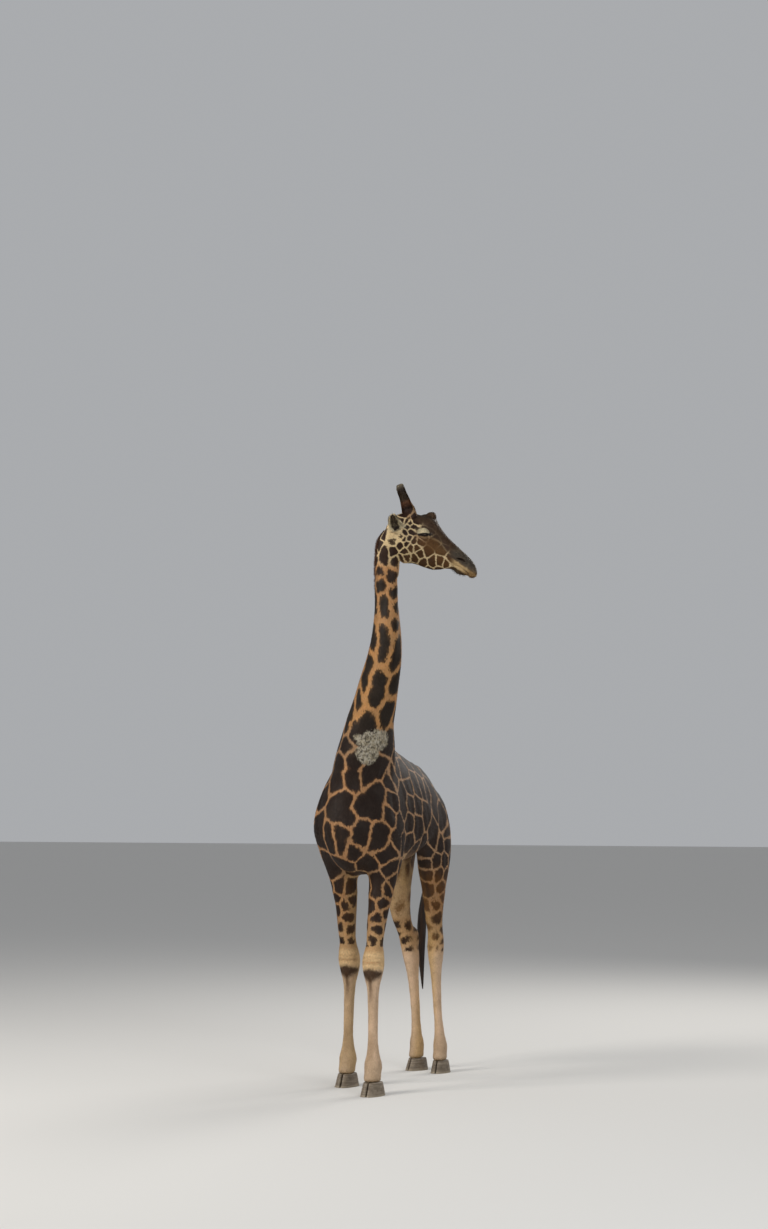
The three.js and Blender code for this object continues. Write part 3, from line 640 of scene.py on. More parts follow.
refine(skin, near_eyes(points_of(skin), 54) | near_nostrils(points_of(skin), 30))
refine(skin, near_eyes(points_of(skin), 42))
knees = points_of(skin)
refine(skin, (knees[:, 2] > 1010) & (knees[:, 2] < 1190) & (knees[:, 1] < 90) & (knees[:, 1] > -80))
print("skin after refining:", len(skin.data.polygons), "faces")


# %% [markdown]
# ## Sculpting
# Muscle, bone and folds are pushed in and out along the surface's own direction. A swelling
# fades like a soft brush stroke from its middle; a fold follows a line and is narrow.

# %% Brushes
def swell(points, at, reach, amount, mirror=True):
    """How far a soft brush at `at`, with its three reaches, moves each point."""
    total = np.zeros(len(points))
    for s in ((1, -1) if mirror else (1,)):
        off = (points - np.array(at, float) * [s, 1, 1]) / np.array(reach, float)
        total += amount * np.exp(-2.2 * (off ** 2).sum(1))
    return total


def fold(points, line, width, amount, mirror=True):
    """How far a brush drawn along a line moves each point; negative digs a groove."""
    total = np.zeros(len(points))
    line = np.array(line, float)
    for s in ((1, -1) if mirror else (1,)):
        path = line * [s, 1, 1]
        nearest = np.full(len(points), 1e9)
        for a, b in zip(path[:-1], path[1:]):
            t = np.clip(((points - a) @ (b - a)) / ((b - a) @ (b - a)), 0, 1)
            nearest = np.minimum(nearest, np.linalg.norm(points - a - t[:, None] * (b - a), axis=1))
        total += amount * np.exp(-2.2 * (nearest / width) ** 2)
    return total


def sculpt_body(p):
    push = swell(p, (250, -150, 2250), (120, 120, 170), 16)
    push += swell(p, (115, -235, 2200), (100, 90, 150), 24)
    push += fold(p, [(20, -300, 2560), (0, -260, 2300), (0, -200, 1960)], 26, -20, mirror=False)
    push += fold(p, [(170, 90, 2960), (250, 10, 2650), (300, -60, 2320)], 45, 10)
    push += fold(p, [(190, 260, 2960), (320, 190, 2600), (345, 160, 2330)], 50, -13)
    push += swell(p, (335, 90, 2230), (70, 150, 200), 12)
    push += swell(p, (305, 190, 2020), (70, 80, 90), 16)
    push += fold(p, [(300, 260, 1960), (340, 300, 2160)], 38, -12)
    push += swell(p, (225, 1330, 2640), (90, 90, 80), 24)
    push += swell(p, (120, 1690, 2520), (60, 60, 60), 14)
    push += swell(p, (290, 1120, 2480), (80, 130, 150), -18)
    push += fold(p, [(300, 1180, 1960), (318, 1240, 2180), (290, 1330, 2420)], 40, 14)
    push += fold(p, [(255, 1640, 2560), (275, 1690, 2240), (235, 1720, 1900)], 34, -10)
    push += fold(p, [(260, 1470, 2420), (290, 1440, 2100), (250, 1460, 1850)], 42, -8)
    x, y, z = p.T
    flank = ease(y, 330, 480) * ease(y, 1120, 960) * ease(z, 1950, 2150) * ease(z, 2760, 2560)
    push += 2.2 * flank * np.sin((y + 0.22 * (z - 2300)) / 62 * math.pi)
    spine = ease(y, 200, 320) * ease(y, 1500, 1300) * ease(np.abs(x + 8), 60, 20) * (z > 2500)
    push += 4.5 * spine * (np.sin(y / 68 * math.pi) - 0.4)
    return push


def sculpt_neck(p):
    at, run, throat, across = neck_axes(np.clip(p[:, 2], 2500, 4650))
    off = p - at
    side, front = (off * across).sum(1), (off * throat).sum(1)
    round_it = np.degrees(np.arctan2(side, front))
    on_neck = ease(p[:, 2], 2850, 3150) * ease(p[:, 2], 4480, 4330)
    push = np.zeros(len(p))
    for middle, width, amount in ((44, 15, -6.5), (-44, 15, -6.5), (0, 26, 3.5), (78, 22, 3.5),
                                  (-78, 22, 3.5), (128, 17, -5), (-128, 17, -5)):
        gap = (round_it - middle + 180) % 360 - 180
        push += amount * np.exp(-(gap / width) ** 2)
    waves = np.sin(p[:, 2] / 21 + 2.2 * np.sin(p[:, 2] / 130) + round_it / 40)
    push += 0.9 * waves * ease(np.abs(round_it), 75, 20)
    return (push + 4) * on_neck


def sculpt_legs(p):
    push = np.zeros(len(p))
    for end in ("fore", "hind"):
        for side in SIDES:
            middle = leg_middle(end, side, np.clip(p[:, 2], 0, 1600))
            turn = leg_turn(end, side, np.clip(p[:, 2], 0, 1600))
            dx, dy = p[:, 0] - middle[:, 0], p[:, 1] - middle[:, 1]
            mine = ((dx ** 2 + (dy - 50) ** 2) < 190 ** 2) & (p[:, 2] < 1600)
            out = dx * np.cos(turn) + dy * np.sin(turn)
            back = -dx * np.sin(turn) + dy * np.cos(turn)
            local = np.column_stack([out, back, p[:, 2]])
            grow = np.zeros(len(p))
            if end == "fore":
                for height, depth in ((1070, 2.6), (1098, 3.4), (1128, 3.0), (1160, 2.0), (1045, 1.6)):
                    dip = height + 8 * np.cos(out / 34)
                    grow -= depth * np.exp(-((p[:, 2] - dip) / 7.5) ** 2) * ease(back, 40, -10)
                grow += swell(local, (0, -15, 985), (45, 50, 36), 7, False)
                grow += swell(local, (62, 60, 1085), (34, 40, 60), 6)
                grow += fold(local, [(40, 60, 900), (36, 52, 420)], 13, -6)
                grow += fold(local, [(0, 118, 960), (0, 96, 420)], 16, 4, False)
                grow += fold(local, [(58, 118, 1720), (66, 84, 1280)], 34, 5)
            else:
                grow += fold(local, [(38, 84, 1000), (32, 62, 460)], 13, -6)
                grow += fold(local, [(0, 170, 1120), (0, 128, 900), (0, 104, 460)], 15, 4, False)
                grow += swell(local, (58, 60, 1130), (36, 50, 60), 6)
                grow += fold(local, [(40, 100, 1400), (48, 150, 1250)], 24, -10)
                grow += fold(local, [(0, 10, 1130), (0, -40, 1400)], 22, 4, False)
            grow += swell(local, (52, 78, 215), (26, 36, 42), 6)
            push += np.where(mine, grow + 1.5, 0) * ease(p[:, 2], 1560, 1400)
    return push


skin.data.update()
p, n = points_of(skin), normals_of(skin)
body_push = sculpt_body(p) * ease(p[:, 2], 1560, 1800)
set_points(skin, p + n * (body_push + sculpt_neck(p) + sculpt_legs(p))[:, None])
print("largest push on the body, mm:", round(float(np.abs(body_push).max()), 1))


# %% [markdown]
# ## Lids, nostrils and mouth
# A lid is skin wrapped over the eyeball, a few millimetres off it, with an almond-shaped
# opening behind which the skin dives under the ball. So points near an eye are moved onto a
# sphere a little larger than the eyeball, and those in the opening onto a smaller one.

# %% Sculpting the face
LID_THICK = 4.0
LID_HALF = 31.0          # half the opening's length
LID_UP, LID_LOW = 2.5, 15.5
LID_DROP = 7.5            # how far the half-closed opening sits below the ball's middle
EYE_OUT = unit([0.20, 0.96, 0.10])
EYE_ALONG = unit(np.array([0.82, 0, 0.57]) - EYE_OUT * (np.array([0.82, 0, 0.57]) @ EYE_OUT))
EYE_OVER = unit(np.cross(EYE_ALONG, EYE_OUT))
if EYE_OVER[2] < 0:
    EYE_OVER = -EYE_OVER


def eye_reading(p, s):
    """Distance, direction, angle from the gaze, and place along and over the eye."""
    flip = np.array([1, s, 1])
    off = p * flip - EYE_AT
    far = np.linalg.norm(off, axis=1)
    way = off / np.maximum(far, 1e-6)[:, None]
    angle = np.degrees(np.arccos(np.clip(way @ EYE_OUT, -1, 1)))
    ball = EYE_RADIUS + LID_THICK
    return far, way * flip, angle, way @ EYE_ALONG * ball, way @ EYE_OVER * ball


def opening(along, over):
    """Positive inside the lids' opening, in millimetres."""
    t = 1 - (along / LID_HALF) ** 2
    over = over + LID_DROP
    inside = np.minimum(LID_UP * t - over, over + LID_LOW * t)
    return np.where(np.abs(along) < LID_HALF, inside, np.minimum(inside, LID_HALF - np.abs(along)))


def sculpt_eye(p, s):
    far, way, angle, along, over = eye_reading(p, s)
    inside = opening(along, over)
    arch = 1 - (along / 44) ** 2
    lid = EYE_RADIUS + LID_THICK
    lid = lid + 5.0 * np.exp(-((over - 9 * arch) / 11.0) ** 2)
    lid = lid - 3.0 * np.exp(-((over - 28 * arch) / 3.0) ** 2)
    lid = lid - 1.8 * np.exp(-((over + 30 * arch) / 2.4) ** 2)
    rim = np.exp(-((inside + 2.5) / 2.2) ** 2)
    lid = lid + 1.2 * rim
    radius = lid + (EYE_RADIUS - 4.0 - lid) * ease(inside, -0.6, 1.8)
    share = (1 - ease(angle, 58, 100)) * (far < 80)
    moved = EYE_AT * [1, s, 1] + way * (far + (radius - far) * share)[:, None]
    return np.where(share[:, None] > 0, moved, p)


def sculpt_face(p, n):
    a = np.column_stack([p[:, 0], np.abs(p[:, 1]), p[:, 2]])
    push = np.zeros(len(p))
    # Nostril: a comma-shaped slit with a raised outer rim.
    off = a - NOSTRIL_AT
    lean = 0.18
    along, over = off[:, 0], off[:, 2] - lean * off[:, 0]
    slit = 8.5 * (1 - (along / 36) ** 2) - np.abs(over + 0.004 * along ** 2)
    here = ease(np.abs(off[:, 1]), 34, 22) * (np.abs(along) < 60)
    push -= 17 * ease(slit, -3, 5) * here
    push += 4.5 * np.exp(-((slit + 7) / 5) ** 2) * here
    # Mouth: a narrow groove from the corner to the front of the lip.
    mouth = [(466, 42, 4), (500, 49, 18), (540, 53, 27), (585, 51, 29), (616, 44, 25), (634, 26, 12), (640, 0, 8)]
    push += fold(a, mouth, 6.5, -7, False)
    push += fold(a, [(500, 46, 2), (545, 49, 12), (590, 40, 12)], 9, 3.5, False)
    push += fold(a, [(450, 40, -6), (462, 44, 14), (466, 50, 30)], 7, -3, False)
    # Cheekbone ridge, hollow of the nose, jaw muscle and veins.
    push += fold(a, [(170, 108, 24), (220, 96, 20), (260, 88, 22), (350, 72, 30)], 24, 3.5, False)
    push += swell(a, (330, 66, 96), (70, 26, 30), -7, False)
    push += swell(a, (40, 104, -90), (80, 30, 80), 7, False)
    push += fold(a, [(110, 90, -170), (80, 104, -100), (40, 110, -50), (16, 112, -10)], 26, 3, False)
    push += fold(a, [(215, 96, 10), (300, 74, -34), (360, 60, -52)], 9, 2, False)
    push += fold(a, [(-30, 104, -60), (-34, 100, -120), (-20, 86, -190)], 34, -4, False)
    # Lines below the eye and fine folds on the muzzle.
    for k, (drop, depth) in enumerate(((14, 1.7), (27, 1.2))):
        push += fold(a, [(84, 114, 26 - drop), (128, 118, 14 - drop), (190, 104, 36 - drop),
                         (224, 94, 66 - drop)], 5.5, -depth, False)
    for x in (592, 606, 620, 634):
        push += fold(a, [(x, 50, 40), (x - 10, 50, 66)], 3.5, -1.2, False)
    # The middle bump is rough and worn.
    bump = swell(a, (103, 0, 272), (42, 34, 30), 1.0, False)
    push += bump * 3.5 * np.sin(a[:, 0] / 7.3 + 1.2 * np.sin(p[:, 1] / 6.1)) * np.cos(p[:, 1] / 8.7)
    return p + n * push[:, None]


p, n = points_of(skin), normals_of(skin)
local = in_head(p)
turned = n @ BODY_TO_HEAD[:3, :3].T
mine = side_of_join(p)[0] > 60
face = sculpt_face(local[mine], unit(turned[mine]))
for s in (1, -1):
    face = sculpt_eye(face, s)
local[mine] = face
p[mine] = from_head(local[mine])
set_points(skin, p)
print("face points sculpted:", int(mine.sum()))


# %% [markdown]
# ## Fewer, better placed faces
# A piece should stay under 200,000 triangles. A Decimate modifier brings the skin down to at most
# 190,000 triangles, taking faces away where the skin is flat and leaving them at lids and folds.
# Then the skin moves to its place in metres.

# %% Thinning and placing the skin
skin.data.calc_loop_triangles()
count = len(skin.data.loop_triangles)
if count > 190000:
    apply_modifier(skin, "DECIMATE", decimate_type="COLLAPSE", ratio=190000 / count)
    skin.data.calc_loop_triangles()
print("triangles:", count, "->", len(skin.data.loop_triangles))
SKIN_MM = points_of(skin)            # kept in millimetres, in the animal's own frame
SKIN_OUT = normals_of(skin)
to_row = Matrix.Scale(0.001, 4) @ Matrix.Translation(ROW_SHIFT)
skin.data.transform(to_row)
for face_of_skin in skin.data.polygons:
    face_of_skin.use_smooth = True


# %% [markdown]
# ## Where the patches sit
# A giraffe's patches never repeat, so the ones on the front and right are set down one by one:
# each has one to three points near its middle. The rest of the animal gets points thrown at
# random, kept apart by the size that patches have on that part of the body.

# %% Patch middles
BODY_PATCHES = [  # centimetres
    [[59, -38, 444]], [[45, -42, 436]], [[46, -41, 424]], [[49, -40, 410], [49, -39, 402]],
    [[47, -38, 385], [47, -37, 377], [46, -36, 369]], [[31, -31, 358], [26, -29, 344]],
    [[39, -32, 344], [35, -29, 332]], [[18, -24, 330]], [[9, -19, 322], [4, -17, 310]],
    [[26, -24, 310], [17, -26, 300]], [[4, -22, 290]], [[-2, -19, 278], [-5, -16, 262]],
    [[11, -22, 279], [9, -17, 263]], [[56, -39, 430]], [[56, -36, 418]], [[57, -33, 405]],
    [[56, -33, 392]], [[56, -26, 375], [53, -27, 363]], [[49, -16, 344]], [[39, -13, 319]],
    [[38, -35, 412], [38, -34, 404]], [[36, -32, 390], [37, -34, 378]], [[32, 8, 293]],
    [[24, 41, 281]], [[27, 28, 264]], [[20, -7, 266], [26, 4, 273]],
    [[2, -22, 245], [-3, -25, 235], [7, -23, 230]], [[24, 1, 252], [18, -14, 239], [24, -5, 237]],
    [[28, 23, 262]], [[32, 17, 244]], [[32, 10, 233]], [[35, 25, 225], [36, 17, 211]],
    [[30, 42, 250], [32, 39, 239]], [[22, 45, 276]], [[23, 58, 271]], [[17, -15, 221], [15, -14, 212]],
    [[29, -4, 218], [27, -1, 209]], [[1, -23, 218], [1, -19, 206]], [[-12, -21, 219], [-12, -17, 209]],
    [[-21, -14, 225], [-26, -5, 213]], [[-24, -8, 247]], [[8, -15, 204]], [[29, 60, 258]],
    [[28, 80, 258]], [[27, 97, 255]], [[32, 56, 243]], [[32, 74, 240]],
    [[27, 109, 250], [32, 92, 235]], [[33, 51, 226]], [[33, 72, 225]], [[30, 54, 209]],
    [[21, 132, 252], [27, 124, 240]], [[29, 111, 218], [25, 126, 209]],
    [[24, 144, 232], [26, 146, 224]], [[27, 133, 206]], [[27, 150, 217]], [[28, 142, 190]],
    [[26, 129, 191]], [[28, 151, 207]], [[20, 119, 199]], [[19, 120, 189]], [[17, 124, 178]],
    [[12, 132, 168]], [[27, 135, 180]], [[27, 148, 177]], [[25, 145, 169]], [[21, 146, 152]],
    [[22, 149, 156]], [[18, 153, 140]], [[16, 165, 127]], [[14, 159, 121]], [[15, 166, 117]],
    [[12, 160, 111]], [[15, 168, 110]], [[13, 162, 104]], [[7, 160, 112]],
    [[32, 10, 202], [29, 6, 198]], [[31, 14, 187]], [[31, 20, 176]], [[15, 7, 193]],
    [[20, 7, 177], [21, 7, 168]], [[29, 14, 169]], [[26, 10, 158]], [[15, 7, 156]], [[23, 6, 146]],
    [[27, 13, 149]], [[24, 5, 137]], [[20, 2, 127]], [[25, 9, 125]], [[24, 2, 115]],
    [[-24, 7, 194], [-27, 14, 183]], [[-8, -2, 190]], [[-19, 15, 171]], [[-10, 22, 170]],
    [[-24, 19, 161]], [[-14, 21, 155]], [[-10, 25, 159]], [[-23, 21, 152]], [[-13, 22, 145]],
    [[-21, 23, 137]], [[-12, 26, 134]], [[-12, 28, 125]], [[-21, 26, 125]], [[-22, 163, 117]],
    [[-19, 165, 108]], [[-19, 145, 148]], [[50, -43, 467]], [[44, -41, 456]],
    [[51, -44, 451], [49, -43, 446]], [[59, -45, 459]], [[58, -42, 452]],
]
FACE_PATCHES = [  # millimetres, on the head; the left side mirrors them
    [[38, -96, -109]], [[94, -86, -130]], [[72, -107, -70]], [[61, -113, -30]], [[110, -104, -77]],
    [[-1, -110, -48]], [[37, -110, -50]], [[-35, -105, 78]], [[-81, -71, 115]], [[-46, -11, 137]],
    [[20, -104, 122]], [[34, -117, 67]], [[40, -117, 34]], [[1, -115, 44]], [[-67, -100, 65]],
    [[152, -106, -43]], [[246, -82, -24]], [[210, -79, -73]], [[110, -113, -24]], [[151, -111, -8]],
    [[249, -91, 64]], [[340, -73, 48]], [[429, -61, 38]], [[265, -40, -116]], [[322, -53, -65]],
    [[370, -58, -24]], [[192, -57, -128]], [[102, -42, -188]], [[131, -64, -159]], [[427, -45, -11]],
    [[-58, -120, -7]], [[-61, -128, 27]], [[-5, -109, 82]], [[9, -115, -9]],
]
TO_EYE = unit([0.405, -0.91, 0.05])  # the side that was set down patch by patch


def region(p):
    """Soft shares of head, neck, trunk and legs for each point."""
    local = in_head(p)
    at_head = np.maximum(ease(side_of_join(p)[0], 60, 190),
                         ease(local[:, 0], 110, 190) * (local[:, 2] > -330))
    neck = (1 - at_head) * ease(p[:, 2], 2950, 3120)
    leg = ease(p[:, 2], 1950, 1700)
    return at_head, neck, (1 - at_head - neck) * (1 - leg), leg


def patch_size(p):
    at_head, neck, trunk, leg = region(p)
    on_neck = 118 + 52 * ease(p[:, 2], 4200, 3000)
    on_leg = 62 + 68 * ease(p[:, 2], 1150, 1900)
    return 52 * at_head + on_neck * neck + 158 * trunk + on_leg * leg


def squeezed(p):
    """Patches on the neck are taller than wide, so heights count for less there."""
    stretch = 1 - 0.36 * ease(p[:, 2], 2950, 3150) * ease(p[:, 2], 4560, 4380)
    return stretch


middles, owner = [], []
for k, patch in enumerate(BODY_PATCHES):
    for at in patch:
        middles.append(np.array(at, float) * 10)
        owner.append(k)
for patch in FACE_PATCHES:
    for s in (1, -1):
        k = max(owner) + 1
        for at in patch:
            middles.append(from_head(np.array([[at[0], at[1] * s, at[2]]], float))[0])
            owner.append(k)
set_by_hand = len(middles)
tries = luck.permutation(len(SKIN_MM))[:16000]
tries = tries[SKIN_MM[tries, 2] > 1000]
sizes, squeeze = patch_size(SKIN_MM[tries]), squeezed(SKIN_MM[tries])
seen = SKIN_OUT[tries] @ TO_EYE > 0.12
found = np.array(middles)
for i, far_apart, k, facing in zip(tries, sizes, squeeze, seen):
    off = (found - SKIN_MM[i]) * [1, 1, k]
    near = np.sqrt((off ** 2).sum(1))
    given = near[:set_by_hand].min()
    if given < far_apart * (2.4 if facing else 0.86) or near.min() < far_apart:
        continue
    found = np.vstack([found, SKIN_MM[i]])
    owner.append(owner[-1] + 1)
MIDDLES, OWNER = found, np.array(owner)
print("patches by hand:", len(BODY_PATCHES) + 2 * len(FACE_PATCHES), "in all:", OWNER.max() + 1)


# %% [markdown]
# ## Six smooth fields
# Pale lines run where two patches are equally near. Storing that line on a coarse mesh would
# blur it, but the distance to a patch's middle is smooth. So each patch gets one of six
# colours, as countries on a map do, with neighbours always different. Each vertex stores its
# distance to the nearest middle of each colour, and the material compares the six.

# %% Distances to the nearest patches
def blob(p, at, reach, hard=0.35):
    """1 inside an ellipsoid, falling softly to 0 outside it."""
    far = np.sqrt((((p - np.array(at, float)) / np.array(reach, float)) ** 2).sum(1))
    return 1 - ease(far, 1 - hard, 1 + hard)


def pale_thigh(p):
    """1 on the front of the right hind thigh, which has hardly any patches."""
    x, y, z = p.T
    middle = leg_middle("hind", "right", np.clip(z, 0, 1900))[:, 1]
    return (y > 1050) * ease(x, -60, -100) * ease(middle - y, -30, 40) * ease(z, 1330, 1450) * ease(z, 2100, 1950)


def net_width(p):
    """Width of the pale lines in millimetres; very wide where there are no patches."""
    at_head, neck, trunk, leg = region(p)
    on_neck = 34 + 8 * blob(p, (60, 150, 3300), (400, 400, 420), 0.6) - 13 * ease(p[:, 2], 3900, 4250)
    on_leg = 20 + 14 * ease(p[:, 2], 1650, 1250)
    local = in_head(p)
    pale = blob(np.column_stack([local[:, 0], np.abs(local[:, 1]), local[:, 2]]), (-66, 112, -100), (70, 66, 104), 0.4)
    chest = ease(p[:, 1], 260, 40) * ease(p[:, 2], 1900, 2050)
    wide = (9 + 26 * pale) * at_head + on_neck * neck + (15.5 + 8 * chest) * trunk + on_leg * leg
    belly = ease(p[:, 2], 2060, 1900) * ease(p[:, 1], 240, 420) * ease(p[:, 1], 1250, 1050)
    knee = np.where(p[:, 1] < 800, ease(p[:, 2], 1230, 1165), ease(p[:, 2], 1090, 980))
    return wide * (1 + 1.2 * belly + 1.5 * pale_thigh(p)) + 500 * knee


def nearest_of(points, groups, count):
    """Distance from each point to the nearest middle of each group, in millimetres."""
    result = np.full((len(points), count), 1e6, np.float32)
    squeeze = squeezed(points)
    for start in range(0, len(points), 20000):
        part = slice(start, start + 20000)
        off = points[part, None, :].astype(np.float32) - MIDDLES[None].astype(np.float32)
        off[:, :, 2] *= squeeze[part, None]
        far = np.sqrt((off ** 2).sum(2))
        for g in range(count):
            mine = np.nonzero(groups == g)[0]
            result[part, g] = far[:, mine].min(1)
    return result


def neighbours():
    pairs = set()
    squeeze = squeezed(SKIN_MM)
    for start in range(0, len(SKIN_MM), 20000):
        part = slice(start, start + 20000)
        off = SKIN_MM[part, None, :] - MIDDLES[None]
        off[:, :, 2] *= squeeze[part, None]
        far = (off ** 2).sum(2)
        order = np.argpartition(far, 4, axis=1)[:, :5]
        rank = np.take_along_axis(far, order, 1).argsort(1)
        names = OWNER[np.take_along_axis(order, rank, 1)]
        for other in range(1, 5):
            different = names[:, 0] != names[:, other]
            first_other = (names[:, 1:other] == names[:, :1]).all(1) if other > 1 else True
            both = names[different & first_other][:, [0, other]]
            pairs.update(map(tuple, np.unique(np.sort(both, 1), axis=0)))
    return pairs


COLOURS = 6
total = OWNER.max() + 1
touching = [set() for _ in range(total)]
for a, b in neighbours():
    touching[a].add(b)
    touching[b].add(a)
paint = np.full(total, -1)
clashes = 0
for _ in range(total):
    waiting = [k for k in range(total) if paint[k] < 0]
    k = max(waiting, key=lambda k: (len({paint[o] for o in touching[k] if paint[o] >= 0}), len(touching[k])))
    used = [paint[o] for o in touching[k] if paint[o] >= 0]
    free = [c for c in range(COLOURS) if c not in used]
    if free:
        paint[k] = min(free, key=lambda c: int((paint == c).sum()))
    else:
        clashes += 1
        paint[k] = min(range(COLOURS), key=used.count)
MIDDLE_PAINT = paint[OWNER]
print("patch colours used:", COLOURS, "clashes:", clashes)


def fields(points):
    """The six distances, counted in widths of the pale line."""
    return nearest_of(points, MIDDLE_PAINT, COLOURS) / net_width(points)[:, None]


# %% [markdown]
# ## Painting by place
# Three colours are laid on the skin, as with soft brushes: the pale ground, the dark of the
# patches, and an over-paint with its own strength for places that have no patches, such as
# the muzzle, the lids, the ears' insides and the knees.

# %% Colours
def lin(red, green, blue):
    """A screen colour, 0 to 255, as the linear light that materials work in."""
    c = np.array([red, green, blue]) / 255
    return np.where(c <= 0.04045, c / 12.92, ((c + 0.055) / 1.055) ** 2.4)


class Brush:
    """A colour for each point, with a strength where it is an over-paint."""

    def __init__(self, count, colour=None):
        self.rgb = np.zeros((count, 3)) if colour is None else np.tile(lin(*colour), (count, 1))
        self.alpha = np.zeros(count)

    def lay(self, mask, colour):
        mask = np.clip(mask, 0, 1)
        share = mask / np.maximum(mask + self.alpha * (1 - mask), 1e-6)
        self.rgb += (lin(*colour) - self.rgb) * share[:, None]
        self.alpha = 1 - (1 - self.alpha) * (1 - mask)

    def tint(self, mask, colour):
        self.rgb += (lin(*colour) - self.rgb) * np.clip(mask, 0, 1)[:, None]


def stroke(p, line, width):
    return fold(p, line, width, 1.0, mirror=False)


GROUND = (196, 146, 86)


def ground_of(p, a):
    at_head, neck, trunk, leg = region(p)
    x, y, z = p.T
    g = Brush(len(p), (160, 122, 88))
    g.tint(neck, (190, 136, 78))
    g.tint(neck * ease(z, 3600, 4300) * 0.6, (172, 122, 76))
    g.tint(ease(z, 2950, 2700) * ease(y, 260, 60) * (z > 1900), (178, 128, 82))
    g.tint(leg, (158, 112, 66))
    g.tint(leg * ease(z, 1550, 1200), (188, 148, 100))
    g.tint(ease(z, 1180, 1020), (208, 178, 148))
    g.tint(ease(z, 420, 180), (186, 160, 132))
    g.tint(pale_thigh(p) * 0.85, (196, 164, 120))
    inner = ease(np.abs(x + 5), 150, 60) * ease(z, 1950, 1750)
    g.tint(inner * 0.7, (196, 160, 100))
    belly = ease(z, 2030, 1930) * ease(y, 300, 420) * ease(y, 1200, 1080)
    g.tint(belly, (190, 160, 116))
    g.tint(at_head, (214, 190, 146))
    g.tint(at_head * ease(a[:, 2], -40, -130) * ease(a[:, 0], -20, 60), (206, 184, 138))
    g.tint(at_head * blob(a, (150, 100, 30), (70, 60, 40)), (168, 136, 98))
    g.tint(at_head * blob(a, (236, 90, 46), (104, 50, 56), 0.5) * 0.8, (142, 106, 66))
    g.tint(at_head * ease(a[:, 2], 110, 170) * ease(a[:, 0], -60, 20) * 0.8, (116, 88, 60))
    return g


def dark_of(p, a):
    at_head, neck, trunk, leg = region(p)
    x, y, z = p.T
    d = Brush(len(p), (38, 26, 20))
    d.tint(neck, (38, 29, 21))
    d.tint(neck * ease(z, 4150, 4450), (50, 33, 22))
    d.tint(leg, (38, 22, 12))
    thigh = leg * ease(y, 900, 1100)
    d.tint(thigh * ease(-np.abs(x - 215) + 70, 0, 40) * ease(z, 1250, 1500) * 0.8, (96, 60, 22))
    inner = ease(np.abs(x + 5), 190, 90) * ease(z, 1950, 1750)
    d.tint(inner * np.where(y < 800, 0.2, 0.75), (122, 84, 44))
    d.tint(pale_thigh(p) * 0.8, (136, 100, 62))
    belly = ease(z, 2050, 1940) * ease(y, 300, 420) * ease(y, 1200, 1080)
    d.tint(belly * 0.8, (120, 88, 58))
    d.tint(at_head, (42, 22, 11))
    d.tint(at_head * ease(a[:, 0], 60, 170) * ease(a[:, 2], 100, 20), (84, 54, 24))
    d.tint(at_head * ease(a[:, 0], 150, 190) * ease(a[:, 2], -20, -60) * 0.8, (62, 38, 14))
    return d


